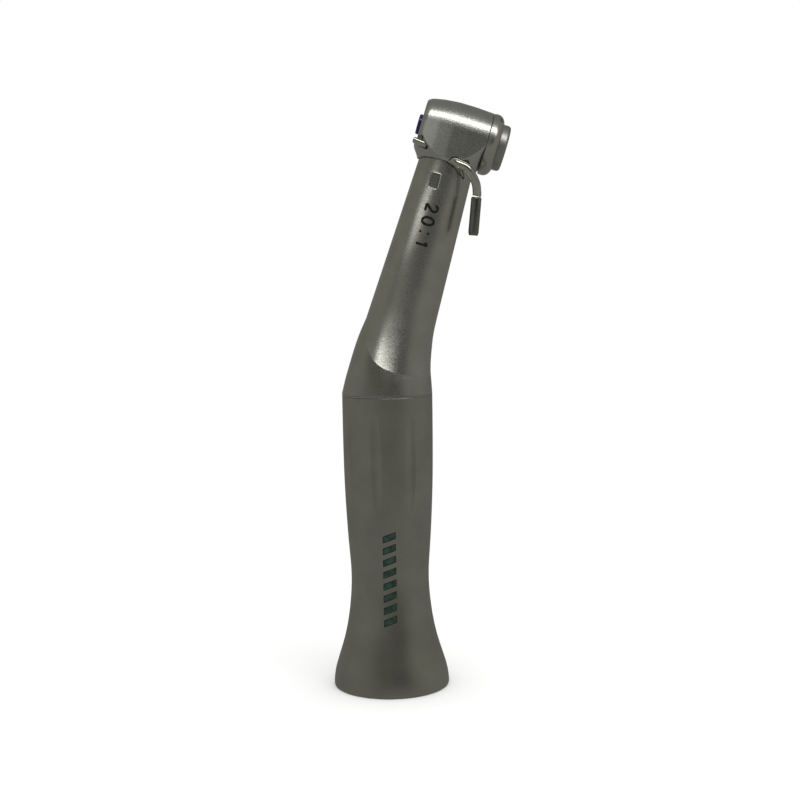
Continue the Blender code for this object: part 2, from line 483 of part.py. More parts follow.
# ------------------------------------------------------------------ bearings
def bearing(name, frame, r_in, r_out, z0, z1, balls=6, shift=(0, 0, 0)):
    mid, thick = (r_in + r_out) / 2, (r_out - r_in)
    zc, ball = (z0 + z1) / 2, thick * 0.24
    half = min(z1 - z0, 2.4 * ball) * 0.42
    deep = ball * 0.45

    def race(label, wall, lip, sign):
        turned(label, [(wall, z0), (lip, z0), (lip, zc - half), (lip + sign * deep, zc), (lip, zc + half), (lip, z1), (wall, z1)],
               RACE, frame, seg=16, shift=shift)

    race(name + "_outer_ring", r_out, mid + ball * 0.66, 1)
    race(name + "_inner_ring", r_in, mid - ball * 0.66, -1)
    # Balls and cage together, as a ring of beads: thick at each ball and thin between them.
    beads = []
    for i in range(balls * 4):
        a = 2 * math.pi * i / (balls * 4)
        r = ball * (0.96, 0.62, 0.30, 0.62)[i % 4]
        beads.append([((mid + r * math.cos(t)) * math.cos(a), (mid + r * math.cos(t)) * math.sin(a), zc + r * math.sin(t))
                      for t in [math.pi / 3 * j for j in range(6)]])
    bm = loft(beads, cap=False)
    bm.verts.ensure_lookup_table()
    first, last = bm.verts[:6], bm.verts[-6:]
    for j in range(6):
        bm.faces.new((last[j], last[(j + 1) % 6], first[(j + 1) % 6], first[j]))
    finish(name + "_ball_cage", bm, CAGE, frame, shift=shift, smooth=60)


bearing("input_bearing", "handle", 1.20, 3.30, 25.6, 28.0)
bearing("neck_bearing", "neck", 1.25, 3.75, 2.0, 4.5)
bearing("spindle_front_bearing", "head", 2.05, 4.20, -5.05, -3.1)
bearing("spindle_rear_bearing", "head", 2.05, 4.45, 3.25, 4.65)

# ------------------------------------------------------------------ irrigation line
# It leaves a slot at the collar on the near side, bends down beside the neck and ends in a hose nipple.
def smooth_route(points, count):
    """Points along a smooth curve through the route's own points."""
    ends = [tuple(2 * a - b for a, b in zip(points[0], points[1]))] + points + [tuple(2 * a - b for a, b in zip(points[-1], points[-2]))]
    out = []
    spans = len(points) - 1
    for i in range(count):
        s = i / (count - 1) * spans
        k = min(int(s), spans - 1)
        t = s - k
        p0, p1, p2, p3 = (Vector(ends[k + j]) for j in range(4))
        out.append(0.5 * (2 * p1 + (p2 - p0) * t + (2 * p0 - 5 * p1 + 4 * p2 - p3) * t ** 2 + (3 * p1 - p0 - 3 * p2 + p3) * t ** 3))
    return out


def pipe(name, points, radius, mat, count=16, sides=2):
    """points are in the handle's frame."""
    curve = bpy.data.curves.new(name, "CURVE")
    curve.dimensions = "3D"
    spline = curve.splines.new("POLY")
    spline.points.add(count - 1)
    for i, p in enumerate(smooth_route(points, count)):
        spline.points[i].co = (*(p * MM), 1)
    curve.bevel_depth = radius * MM
    curve.bevel_resolution = sides
    curve.use_fill_caps = True
    obj = bpy.data.objects.new(name, curve)
    bpy.context.scene.collection.objects.link(obj)
    obj.matrix_world = FRAMES["handle"]
    curve.materials.append(mat)
    return obj


def on_head(u, v, y):
    """A point given in the head's plane, u along the chuck, v along the neck, as a point in the handle's frame."""
    c, s = math.cos(BEND), math.sin(BEND)
    t = HEAD_T + v
    return Vector((u * c + t * s, y, BEND_Z - u * s + t * c))


TUBE_R, NIPPLE_R, NOZZLE_R = 0.725, 0.87, 0.50
tube_route = [on_head(-0.3, -4.55, -3.75), on_head(0.9, -4.7, -4.75), on_head(1.93, -5.0, -5.5), on_head(3.58, -5.38, -5.65),
              on_head(5.37, -7.03, -5.2), on_head(6.15, -8.66, -4.8), on_head(6.22, -9.15, -4.75)]
nipple_a, nipple_b = on_head(6.25, -9.32, -4.75), on_head(7.53, -15.54, -4.55)
pipe("irrigation_tube", tube_route, TUBE_R, BRIGHT, count=20)


def rod_along(name, a, b, outline, mat, seg, helper=False):
    """A turned piece whose axis runs from a to b."""
    direction = b - a
    obj = turned(name, outline(direction.length), mat, "handle", seg=seg, helper=helper)
    turn = direction.normalized().to_track_quat("Z", "Y").to_matrix().to_4x4()
    obj.matrix_world = FRAMES["handle"] @ Matrix.Translation(a * MM) @ turn
    return obj


nipple = rod_along("hose_nipple", nipple_a, nipple_b,
                   lambda n: [(0, 0), (0.72, 0), (NIPPLE_R, 0.18), (NIPPLE_R, n - 0.5), (NIPPLE_R - 0.14, n), (0.48, n), (0.48, n - 2.5), (0, n - 2.5)], BRIGHT, 20)

way_out = [tube_route[0] + (tube_route[0] - tube_route[1]) * 0.12] + tube_route[1:5]


def clear_way(name):
    cutter = pipe(name, way_out, TUBE_R + 0.12, None, count=14)
    bpy.context.view_layer.update()
    graph = bpy.context.evaluated_depsgraph_get()
    mesh = bpy.data.meshes.new_from_object(cutter.evaluated_get(graph))
    bpy.data.objects.remove(cutter, do_unlink=True)
    bm = bmesh.new()
    bm.from_mesh(mesh)
    return finish(name + "_cutter", bm, None, "handle", helper=True)


tube_way = clear_way("tube_way")
boolean(head, tube_way)
boolean(neck_sheath, tube_way)

# Spray nozzle in its recess beside the chuck.
nozzle_a, nozzle_b = on_head(-4.10, -3.38, -4.15), on_head(-6.43, -3.07, -3.7)
rod_along("spray_nozzle", nozzle_a, nozzle_b, lambda n: [(0, 0), (NOZZLE_R, 0), (NOZZLE_R, n - 0.1), (NOZZLE_R - 0.1, n), (0.22, n), (0.22, n - 0.9), (0, n - 0.9)], BRIGHT, 16)
step = (nozzle_a - nozzle_b).normalized()
boolean(head, rod_along("nozzle_way", nozzle_a + step * 0.2, nozzle_b, lambda n: [(0, 0), (NOZZLE_R + 0.13, 0), (NOZZLE_R + 0.13, n), (0, n)], None, 16, helper=True))
boolean(head, block("nozzle_recess", (1.7, 2.4, 2.2), None, "head", (3.1, -4.1, -6.30), helper=True, bevel=0.3))

# Clip that holds the tube down: a wedge let flush into the collar and the neck.
def wedge(name, offset, r0, r1, mat, helper=False):
    outline = [(0.95, -5.35), (2.35, -5.15), (3.38, -6.85)]
    mid = Vector((sum(p[0] for p in outline) / 3, sum(p[1] for p in outline) / 3))
    points = []
    for u, v in outline:
        out = Vector((u, v)) - mid
        q = mid + out * (1 + offset / out.length * 1.9)
        points.append(q)
    bm = loft([[(q.x, y, q.y) for q in points] for y in (-6.5, -2.4)])
    piece = finish(name, bm, mat, "neck", shift=(0, 0, HEAD_T), helper=helper)
    band = turned(name + "_band", [(r0, -9.0), (r1, -9.0), (r1, -3.5), (r0, -3.5)], None, "neck", seg=96, shift=(0, 0, HEAD_T), helper=True)
    boolean(piece, band, "INTERSECT")
    return piece


pocket = wedge("clip_pocket", 0.10, 4.02, 6.4, None, helper=True)
boolean(head, pocket)
boolean(neck_sheath, pocket)
clip = wedge("tube_clip", 0.0, 4.10, 4.88, STEEL)
boolean(clip, tube_way)
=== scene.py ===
import math

import bpy
import numpy as np
from mathutils import Matrix, Vector


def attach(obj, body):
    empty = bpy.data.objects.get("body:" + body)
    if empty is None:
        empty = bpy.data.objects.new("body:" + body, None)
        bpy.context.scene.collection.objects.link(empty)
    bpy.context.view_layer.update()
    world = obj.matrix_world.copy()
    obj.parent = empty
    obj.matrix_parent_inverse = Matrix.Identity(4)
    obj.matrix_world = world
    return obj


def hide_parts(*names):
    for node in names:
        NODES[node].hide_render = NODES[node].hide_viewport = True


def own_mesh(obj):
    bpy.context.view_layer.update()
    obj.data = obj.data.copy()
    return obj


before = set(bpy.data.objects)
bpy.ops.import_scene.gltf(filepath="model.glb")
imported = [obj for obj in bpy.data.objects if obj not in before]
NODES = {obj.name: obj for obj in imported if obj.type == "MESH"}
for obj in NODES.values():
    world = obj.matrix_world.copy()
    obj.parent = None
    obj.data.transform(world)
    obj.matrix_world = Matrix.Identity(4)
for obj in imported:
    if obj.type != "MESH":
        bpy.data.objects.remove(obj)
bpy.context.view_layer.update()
MM = 0.001

# ------------------------------------------------------------------ frames and the few numbers everything hangs on
AXIS_X, BEND_Z, HEAD_T = -5.794, 54.55, 41.5
BEND = math.radians(17.0)
SIN, COS = math.sin(BEND), math.cos(BEND)
FRAMES = {
    "handle": Matrix.Translation(Vector((AXIS_X, 0, 0)) * MM),
    "neck": Matrix.Translation(Vector((AXIS_X, 0, BEND_Z)) * MM) @ Matrix.Rotation(BEND, 4, "Y"),
}
FRAMES["head"] = FRAMES["neck"] @ Matrix.Translation(Vector((0, 0, HEAD_T)) * MM) @ Matrix.Rotation(math.radians(90), 4, "Y")


def on_head(u, v, y):
    """u along the chuck towards the button, v up the neck, y across: a point in the handle's frame."""
    t = HEAD_T + v
    return Vector((u * COS + t * SIN, y, BEND_Z - u * SIN + t * COS))


# ------------------------------------------------------------------ mesh helpers
def make(name, verts, faces, frame_name="handle", mat=None, body="housing", replaces=(), slot=None, angle=32, weighted=False, matrix=None):
    """An object from points in millimetres in one of the frames, riding on its CAD body."""
    mesh = bpy.data.meshes.new(name)
    verts = np.asarray(verts, float) * MM
    mesh.from_pydata([tuple(v) for v in verts], [], [tuple(int(i) for i in f) for f in faces])
    mesh.validate()
    mesh.update()
    mesh.shade_smooth()
    if angle:
        mesh.set_sharp_from_angle(angle=math.radians(angle))
    obj = bpy.data.objects.new(name, mesh)
    bpy.context.scene.collection.objects.link(obj)
    obj.matrix_world = FRAMES[frame_name] @ (matrix or Matrix.Identity(4))
    if mat:
        mesh.materials.append(mat)
    if weighted:
        mod = obj.modifiers.new("weighted", "WEIGHTED_NORMAL")
        mod.keep_sharp = True
    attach(obj, body)
    if replaces:
        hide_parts(*replaces)
    return obj


def grid_faces(rows, cols, closed=True, wrap_rows=False, offset=0):
    """Quads of a grid of rows x cols points; the columns close on themselves."""
    r = np.arange(rows if wrap_rows else rows - 1)
    c = np.arange(cols if closed else cols - 1)
    R, C = np.meshgrid(r, c, indexing="ij")
    R2, C2 = (R + 1) % rows, (C + 1) % cols
    q = np.stack([R * cols + C, R * cols + C2, R2 * cols + C2, R2 * cols + C], -1).reshape(-1, 4)
    return q + offset


def rounded(points, n=4, turn=22.0):
    """Corners of a closed outline replaced by arcs, with a point just outside each so that flats stay flat.
    A point is (r, z) or (r, z, radius); slight turns are left as they are."""
    out = []
    count = len(points)
    for i in range(count):
        p = Vector(points[i][:2])
        a, b = Vector(points[i - 1][:2]), Vector(points[(i + 1) % count][:2])
        radius = points[i][2] if len(points[i]) > 2 else 0.07
        da, db = a - p, b - p
        if da.length < 1e-9 or db.length < 1e-9:
            continue
        bend = 180 - math.degrees(da.angle(db))
        if bend < turn or radius <= 0 or p.x < 1e-6:
            out.append((p.x, p.y))
            continue
        ra, rb = min(radius, da.length * 0.42), min(radius, db.length * 0.42)
        pa, pb = p + da.normalized() * ra, p + db.normalized() * rb
        for k in range(n + 1):
            s = k / n
            q = pa * (1 - s) ** 2 + p * 2 * s * (1 - s) + pb * s * s
            out.append((q.x, q.y))
    return out


def lathe(name, profile, seg=128, n=4, **kw):
    """A closed outline of (radius, height) turned about z. Points on the axis make caps."""
    prof = rounded(profile, n)
    angles = np.linspace(0, 2 * math.pi, seg, endpoint=False)
    verts, faces, rings = [], [], []
    for r, z in prof:
        if r < 1e-6:
            rings.append([len(verts)])
            verts.append((0, 0, z))
        else:
            rings.append(list(range(len(verts), len(verts) + seg)))
            verts += [(r * math.cos(a), r * math.sin(a), z) for a in angles]
    m = len(rings)
    for i in range(m):
        lo, hi = rings[i], rings[(i + 1) % m]
        if len(lo) == 1 and len(hi) == 1:
            continue
        for k in range(seg):
            j = (k + 1) % seg
            if len(lo) == 1:
                faces.append((lo[0], hi[j], hi[k]))
            elif len(hi) == 1:
                faces.append((lo[k], lo[j], hi[0]))
            else:
                faces.append((lo[k], lo[j], hi[j], hi[k]))
    # outward facing: the outline runs anticlockwise seen with r to the right and z up
    area = sum(prof[i][0] * prof[(i + 1) % m][1] - prof[(i + 1) % m][0] * prof[i][1] for i in range(m))
    if area < 0:
        faces = [f[::-1] for f in faces]
    return make(name, verts, faces, weighted=kw.pop("weighted", True), **kw)


def smooth_route(points, count):
    """Points along a Catmull-Rom curve through the route's own points."""
    pts = [Vector(p) for p in points]
    ends = [2 * pts[0] - pts[1]] + pts + [2 * pts[-1] - pts[-2]]
    out, spans = [], len(pts) - 1
    for i in range(count):
        s = i / (count - 1) * spans
        k = min(int(s), spans - 1)
        t = s - k
        p0, p1, p2, p3 = ends[k:k + 4]
        out.append(0.5 * (2 * p1 + (p2 - p0) * t + (2 * p0 - 5 * p1 + 4 * p2 - p3) * t ** 2 + (3 * p1 - p0 - 3 * p2 + p3) * t ** 3))
    return out


def sweep(name, points, radii, sides=28, **kw):
    """A round tube along points, radii one for each, with closed ends."""
    pts = [Vector(p) for p in points]
    tangents = [((pts[min(i + 1, len(pts) - 1)]) - pts[max(i - 1, 0)]).normalized() for i in range(len(pts))]
    normal = tangents[0].orthogonal().normalized()
    verts = []
    for i, (p, t) in enumerate(zip(pts, tangents)):
        normal = (normal - t * normal.dot(t)).normalized()
        side = t.cross(normal)
        for k in range(sides):
            a = 2 * math.pi * k / sides
            verts.append(tuple(p + (normal * math.cos(a) + side * math.sin(a)) * radii[i]))
    faces = [tuple(f) for f in grid_faces(len(pts), sides)]
    n = len(verts)
    verts += [tuple(pts[0]), tuple(pts[-1])]
    last = (len(pts) - 1) * sides
    for k in range(sides):
        j = (k + 1) % sides
        faces.append((n, j, k))
        faces.append((n + 1, last + k, last + j))
    return make(name, verts, faces, weighted=True, **kw)


# ------------------------------------------------------------------ shapes given as distance fields
def profile_field(outline, lo, hi, step=0.03):
    """Signed distance to a closed outline of (a, b), as a table that is read by bilinear interpolation."""
    poly = np.asarray(outline, float)
    na, nb = int((hi[0] - lo[0]) / step) + 2, int((hi[1] - lo[1]) / step) + 2
    A, B = np.meshgrid(lo[0] + step * np.arange(na), lo[1] + step * np.arange(nb), indexing="ij")
    best = np.full(A.shape, 1e9)
    inside = np.zeros(A.shape, bool)
    for (a0, b0), (a1, b1) in zip(poly, np.roll(poly, -1, 0)):
        da, db = a1 - a0, b1 - b0
        t = np.clip(((A - a0) * da + (B - b0) * db) / (da * da + db * db + 1e-12), 0, 1)
        best = np.minimum(best, (A - a0 - t * da) ** 2 + (B - b0 - t * db) ** 2)
        if b0 != b1:
            cross = (B < b0) != (B < b1)
            inside ^= cross & (A < a0 + (B - b0) * da / db)
    table = np.where(inside, -np.sqrt(best), np.sqrt(best))

    def read(a, b):
        x = np.clip((a - lo[0]) / step, 0, na - 1.001)
        y = np.clip((b - lo[1]) / step, 0, nb - 1.001)
        i, j = x.astype(np.int32), y.astype(np.int32)
        fx, fy = x - i, y - j
        return ((table[i, j] * (1 - fx) + table[i + 1, j] * fx) * (1 - fy) + (table[i, j + 1] * (1 - fx) + table[i + 1, j + 1] * fx) * fy)

    return read


def smax(a, b, k):
    h = np.maximum(k - np.abs(a - b), 0) / k
    return np.maximum(a, b) + h * h * k / 4


def smin(a, b, k):
    return -smax(-a, -b, k)


def box_field(x, y, z, centre, half, r):
    qx, qy, qz = (np.abs(p - c) - (h - r) for p, c, h in zip((x, y, z), centre, half))
    return np.sqrt(np.maximum(qx, 0) ** 2 + np.maximum(qy, 0) ** 2 + np.maximum(qz, 0) ** 2) + np.minimum(np.maximum(qx, np.maximum(qy, qz)), 0) - r


def path_field(x, y, z, path, margin=1.6):
    """Distance to a polyline, worked out only near it."""
    path = np.asarray(path, float)
    lo, hi = path.min(0) - margin, path.max(0) + margin
    out = np.full(np.shape(x), 9.0)
    near = (x > lo[0]) & (x < hi[0]) & (y > lo[1]) & (y < hi[1]) & (z > lo[2]) & (z < hi[2])
    if not near.any():
        return out
    p = np.stack([x[near], y[near], z[near]], -1)
    best = np.full(len(p), 81.0)
    for a, b in zip(path, path[1:]):
        d = b - a
        t = np.clip(((p - a) @ d) / (d @ d), 0, 1)
        best = np.minimum(best, ((p - a - t[:, None] * d) ** 2).sum(1))
    out[near] = np.sqrt(best)
    return out


def net(field, lo, hi, h, steps=4):
    """A quad mesh of the field's zero level: one point in each cell that it crosses, then drawn onto the surface."""
    axes = [np.arange(a, b + h, h) for a, b in zip(lo, hi)]
    nx, ny, nz = map(len, axes)
    values = np.empty((nx, ny, nz), np.float32)
    Y, Z = np.meshgrid(axes[1], axes[2], indexing="ij")
    for start in range(0, nx, 24):
        xs = axes[0][start:start + 24]
        X = np.broadcast_to(xs[:, None, None], (len(xs), ny, nz))
        values[start:start + 24] = field(X, np.broadcast_to(Y, X.shape), np.broadcast_to(Z, X.shape))
    s = values < 0
    corners = [s[i:nx - 1 + i, j:ny - 1 + j, k:nz - 1 + k] for i in (0, 1) for j in (0, 1) for k in (0, 1)]
    some, every = corners[0].copy(), corners[0].copy()
    for c in corners[1:]:
        some |= c
        every &= c
    cells = np.argwhere(some & ~every)
    index = np.full((nx - 1, ny - 1, nz - 1), -1, np.int32)
    index[tuple(cells.T)] = np.arange(len(cells))
    total, hits = np.zeros((len(cells), 3)), np.zeros(len(cells))
    offs = [(i, j, k) for i in (0, 1) for j in (0, 1) for k in (0, 1)]
    for a in offs:
        for b in offs:
            if sum(abs(p - q) for p, q in zip(a, b)) != 1 or a > b:
                continue
            va = values[tuple((cells + a).T)].astype(float)
            vb = values[tuple((cells + b).T)].astype(float)
            cut = (va < 0) != (vb < 0)
            t = np.where(cut, va / np.where(cut, va - vb, 1), 0)
            total[cut] += (np.array(a) + t[:, None] * (np.array(b) - np.array(a)))[cut]
            hits += cut
    points = np.array(lo) + (cells + total / hits[:, None]) * h
    quads = []
    for axis in range(3):
        u, v = [q for q in range(3) if q != axis]
        n = [nx, ny, nz]
        low = [slice(None)] * 3
        high = [slice(None)] * 3
        low[axis], high[axis] = slice(0, n[axis] - 1), slice(1, n[axis])
        crossing = s[tuple(low)] != s[tuple(high)]
        spots = np.argwhere(crossing)
        keep = (spots[:, u] > 0) & (spots[:, v] > 0) & (spots[:, u] < n[u] - 1) & (spots[:, v] < n[v] - 1)
        spots = spots[keep]
        around = []
        for du, dv in ((-1, -1), (0, -1), (0, 0), (-1, 0)):
            q = spots.copy()
            q[:, u] += du
            q[:, v] += dv
            around.append(index[tuple(q.T)])
        q = np.stack(around, -1)
        flip = s[tuple(spots.T)]
        if axis == 1:
            flip = ~flip
        q[~flip] = q[~flip][:, ::-1]
        quads.append(q)
    quads = np.concatenate(quads)

    def at(p):
        return field(p[:, 0], p[:, 1], p[:, 2])

    e = h * 0.2
    for _ in range(steps):
        f = at(points)
        g = np.stack([(at(points + d) - at(points - d)) / (2 * e) for d in np.eye(3) * e], -1)
        g2 = np.maximum((g * g).sum(1), 0.05)
        step = -(f / g2)[:, None] * g
        length = np.linalg.norm(step, axis=1, keepdims=True)
        points += step * np.minimum(1, 0.6 * h / np.maximum(length, 1e-9))
    return points, quads


# ------------------------------------------------------------------ materials
def new_material(name):
    mat = bpy.data.materials.new(name)
    mat.use_nodes = True
    tree = mat.node_tree
    tree.nodes.clear()
    out = tree.nodes.new("ShaderNodeOutputMaterial")
    shader = tree.nodes.new("ShaderNodeBsdfPrincipled")
    tree.links.new(shader.outputs["BSDF"], out.inputs["Surface"])
    return mat, tree, shader


def node(tree, kind, **values):
    made = tree.nodes.new(kind)
    for key, value in values.items():
        if key in made.inputs:
            made.inputs[key].default_value = value
        else:
            setattr(made, key, value)
    return made


def noise(tree, coord, size_mm, detail=2.0, stretch=(1, 1, 1), rough=0.55):
    """Noise whose grains are about size_mm across, stretched along the axes given."""
    mapping = node(tree, "ShaderNodeMapping")
    mapping.inputs["Scale"].default_value = tuple(1.0 / (size_mm * MM * s) for s in stretch)
    tree.links.new(coord, mapping.inputs["Vector"])
    tex = node(tree, "ShaderNodeTexNoise", Scale=1.0, Detail=detail, Roughness=rough)
    tree.links.new(mapping.outputs["Vector"], tex.inputs["Vector"])
    return tex.outputs["Fac"]


def spread(tree, value, low, high, from_low=0.3, from_high=0.7):
    made = node(tree, "ShaderNodeMapRange")
    made.inputs["From Min"].default_value = from_low
    made.inputs["From Max"].default_value = from_high
    made.inputs["To Min"].default_value = low
    made.inputs["To Max"].default_value = high
    tree.links.new(value, made.inputs["Value"])
    return made.outputs["Result"]


def metal(name, dark, light, rough=(0.30, 0.40), grain=0.16, bump=0.25, depth=0.012, brush=None, brush_depth=0.0, blotch=4.0, anisotropic=0.0):
    """Satin metal: slow changes of tone, a fine blasted grain in the relief, and brushing along one axis if asked."""
    mat, tree, shader = new_material(name)
    coord = node(tree, "ShaderNodeTexCoord").outputs["Object"]
    slow = noise(tree, coord, blotch, 3.0)
    fine = noise(tree, coord, grain, 3.0)
    ramp = node(tree, "ShaderNodeValToRGB")
    ramp.color_ramp.elements[0].position, ramp.color_ramp.elements[1].position = 0.36, 0.66
    ramp.color_ramp.elements[0].color, ramp.color_ramp.elements[1].color = (*dark, 1), (*light, 1)
    tree.links.new(slow, ramp.inputs["Fac"])
    tree.links.new(ramp.outputs["Color"], shader.inputs["Base Color"])
    shader.inputs["Metallic"].default_value = 1.0
    tree.links.new(spread(tree, fine, *rough), shader.inputs["Roughness"])
    relief = node(tree, "ShaderNodeBump", Strength=bump, Distance=depth * MM)
    tree.links.new(fine, relief.inputs["Height"])
    if brush:
        lines = noise(tree, coord, 0.07, 2.0, stretch=brush)
        second = node(tree, "ShaderNodeBump", Strength=bump, Distance=(brush_depth or depth) * MM)
        tree.links.new(lines, second.inputs["Height"])
        tree.links.new(relief.outputs["Normal"], second.inputs["Normal"])
        relief = second
    tree.links.new(relief.outputs["Normal"], shader.inputs["Normal"])
    return mat


def plain(name, dark, light, rough=(0.45, 0.6), grain=0.2, blotch=2.0, bump=0.3, depth=0.01, coat=0.0, metallic=0.0):
    """Paint, plastic or rubber: mottled tone with a fine grain."""
    mat, tree, shader = new_material(name)
    coord = node(tree, "ShaderNodeTexCoord").outputs["Object"]
    slow, fine = noise(tree, coord, blotch, 3.0), noise(tree, coord, grain, 3.0)
    ramp = node(tree, "ShaderNodeValToRGB")
    ramp.color_ramp.elements[0].position, ramp.color_ramp.elements[1].position = 0.36, 0.66
    ramp.color_ramp.elements[0].color, ramp.color_ramp.elements[1].color = (*dark, 1), (*light, 1)
    tree.links.new(slow, ramp.inputs["Fac"])
    tree.links.new(ramp.outputs["Color"], shader.inputs["Base Color"])
    shader.inputs["Metallic"].default_value = metallic
    shader.inputs["Coat Weight"].default_value = coat
    tree.links.new(spread(tree, fine, *rough), shader.inputs["Roughness"])
    relief = node(tree, "ShaderNodeBump", Strength=bump, Distance=depth * MM)
    tree.links.new(fine, relief.inputs["Height"])
    tree.links.new(relief.outputs["Normal"], shader.inputs["Normal"])
    return mat


HANDLE_STEEL = metal("handle_steel", (0.44, 0.44, 0.385), (0.50, 0.50, 0.44), rough=(0.33, 0.43), grain=0.15, bump=0.35, brush=(3.0, 3.0, 0.5), blotch=6.0)
NECK_STEEL = metal("neck_steel", (0.51, 0.51, 0.455), (0.58, 0.58, 0.52), rough=(0.25, 0.36), grain=0.24, bump=0.6, depth=0.026)
# Painted shade: the elbow cone gets a slightly darker, rougher copy of the neck's steel, so that its highlight comes
# out dimmer.
ELBOW_STEEL_PAINTED_SHADE = metal("elbow_steel_painted_shade", (0.50, 0.50, 0.447), (0.56, 0.56, 0.502), rough=(0.27, 0.38), grain=0.24, bump=0.6, depth=0.026)
HEAD_STEEL = metal("head_steel", (0.55, 0.55, 0.51), (0.62, 0.62, 0.58), rough=(0.24, 0.34), grain=0.22, bump=0.55, depth=0.022, brush=(1.6, 1.6, 9.0), brush_depth=0.016)
CAP_STEEL = metal("cap_steel", (0.54, 0.54, 0.49), (0.61, 0.61, 0.56), rough=(0.24, 0.33), grain=0.14, bump=0.3)
BUTTON_STEEL = metal("button_steel", (0.42, 0.42, 0.39), (0.50, 0.50, 0.465), rough=(0.36, 0.46), grain=0.12, bump=0.3)
BRIGHT_STEEL = metal("bright_steel", (0.60, 0.585, 0.52), (0.70, 0.685, 0.61), rough=(0.11, 0.18), grain=0.25, bump=0.05, depth=0.003, blotch=1.5)
# Painted shade: a dark copy of the tube's bright steel for the hose spigot, standing in for the dark reflection on its
# face.
SPIGOT_STEEL_PAINTED_SHADE = metal("spigot_steel_painted_shade", (0.26, 0.26, 0.24), (0.33, 0.33, 0.305), rough=(0.15, 0.22), grain=0.2, bump=0.08, depth=0.004, blotch=1.5)
RIM_STEEL = metal("rim_steel", (0.62, 0.61, 0.57), (0.70, 0.69, 0.64), rough=(0.18, 0.26), grain=0.2, bump=0.12)
BODY_STEEL = metal("body_steel", (0.46, 0.46, 0.44), (0.56, 0.56, 0.53), rough=(0.24, 0.36), grain=0.2, bump=0.25, brush=(6.0, 6.0, 0.6))
SHAFT_STEEL = metal("shaft_steel", (0.52, 0.52, 0.50), (0.62, 0.62, 0.60), rough=(0.16, 0.26), grain=0.12, bump=0.2, brush=(6.0, 6.0, 0.4), blotch=1.5)
GEAR_STEEL = metal("gear_steel", (0.42, 0.41, 0.385), (0.53, 0.52, 0.49), rough=(0.22, 0.36), grain=0.10, bump=0.3, blotch=0.8)
RACE_STEEL = metal("race_steel", (0.60, 0.60, 0.59), (0.68, 0.68, 0.67), rough=(0.09, 0.16), grain=0.12, bump=0.08, blotch=1.0)
SPRING_STEEL = metal("spring_steel", (0.40, 0.40, 0.40), (0.54, 0.54, 0.53), rough=(0.2, 0.32), grain=0.08, bump=0.25, blotch=0.5)
BRONZE = metal("bush_bronze", (0.52, 0.33, 0.13), (0.66, 0.45, 0.21), rough=(0.26, 0.42), grain=0.15, bump=0.3, brush=(5.0, 5.0, 0.5), blotch=1.2)
RUBBER = plain("seal_rubber", (0.012, 0.012, 0.013), (0.035, 0.035, 0.036), rough=(0.5, 0.7), grain=0.12, blotch=0.8)
CAGE = plain("cage_polymer", (0.26, 0.15, 0.06), (0.36, 0.23, 0.10), rough=(0.4, 0.55), grain=0.12, blotch=0.8)
BLUE = plain("ring_blue", (0.008, 0.012, 0.060), (0.014, 0.024, 0.115), rough=(0.16, 0.26), grain=0.15, blotch=0.7, coat=0.4, bump=0.12, metallic=0.3)
BLACK = plain("marking_black", (0.002, 0.002, 0.002), (0.006, 0.006, 0.006), rough=(0.75, 0.9), grain=0.10, blotch=0.6)
GREEN = plain("marking_green", (0.006, 0.022, 0.015), (0.014, 0.050, 0.034), rough=(0.35, 0.5), grain=0.12, blotch=0.8)

# ------------------------------------------------------------------ handle: waisted grip with eight spindle flutes
KNOTS = [(0.45, 10.0), (1.33, 9.98), (2.76, 9.74), (4.19, 9.31), (5.62, 8.85), (7.05, 8.40), (8.47, 7.99), (9.90, 7.66), (11.32, 7.39), (12.74, 7.17),
         (14.16, 6.99), (15.58, 6.85), (16.99, 6.75), (18.41, 6.70), (19.82, 6.70), (21.23, 6.77), (22.64, 6.88), (24.05, 6.99), (25.46, 7.10), (26.87, 7.19),
         (28.27, 7.27), (29.67, 7.35), (31.07, 7.42), (32.47, 7.485), (33.87, 7.54), (35.27, 7.585), (36.66, 7.625), (38.05, 7.655), (40.83, 7.695), (43.61, 7.72),
         (46.40, 7.735), (50.25, 7.74)]
zz = np.linspace(0.45, 50.25, 1200)
kz, kr = np.array(KNOTS).T
rr = np.interp(zz, kz, kr)
for _ in range(3):
    pad = np.pad(rr, 18, mode="reflect", reflect_type="odd")
    rr = np.convolve(pad, np.ones(37) / 37, "valid")


def handle_radius(z):
    return np.interp(z, zz, rr)


FLUTES, FIRST, MID, HALF, DEEP, WIDE = 8, -105.0, 39.3, 8.5, 0.25, 0.93


def handle_rows():
    rows = [(None, z) for z in np.concatenate([np.linspace(0.5, 29.0, 62), np.linspace(29.6, 49.0, 118), [49.5, 49.9, 50.2]])]
    edge = rounded([(9.62, 0.0, 0.04), (9.98, 0.0, 0.34), (10.0, 0.9, 0.01), (9.0, 0.9, 0)], n=7, turn=8)
    start = [(r, z) for r, z in edge if z < 0.49 and r > 9.5]
    top = rounded([(7.74, 49.9, 0), (7.74, 50.40, 0.12), (6.90, 50.40, 0.12), (6.90, 49.9, 0)], n=5)
    top = [(r, z) for r, z in top if z > 50.21]
    inner = rounded([(6.90, 50.3, 0), (6.90, 47.4), (6.30, 47.4), (6.30, 25.4), (6.05, 25.4), (6.05, 4.2, 0.15), (8.20, 1.2, 0.25), (8.32, 0.0, 0.12), (9.4, 0.0, 0)], n=3)
    inner = [(r, z) for r, z in inner if z < 50.2 and r < 8.8]
    return [(r, z) for r, z in start] + rows + [(r, z) for r, z in top] + inner + [(8.9, 0.0), (9.35, 0.0)]


IN_FLUTE = np.array([-1.12, -1.04, -1.0, -0.96, -0.88, -0.75, -0.58, -0.4, -0.2, 0, 0.2, 0.4, 0.58, 0.75, 0.88, 0.96, 1.0, 1.04, 1.12])
BETWEEN = np.linspace(0, 1, 15)[1:-1]


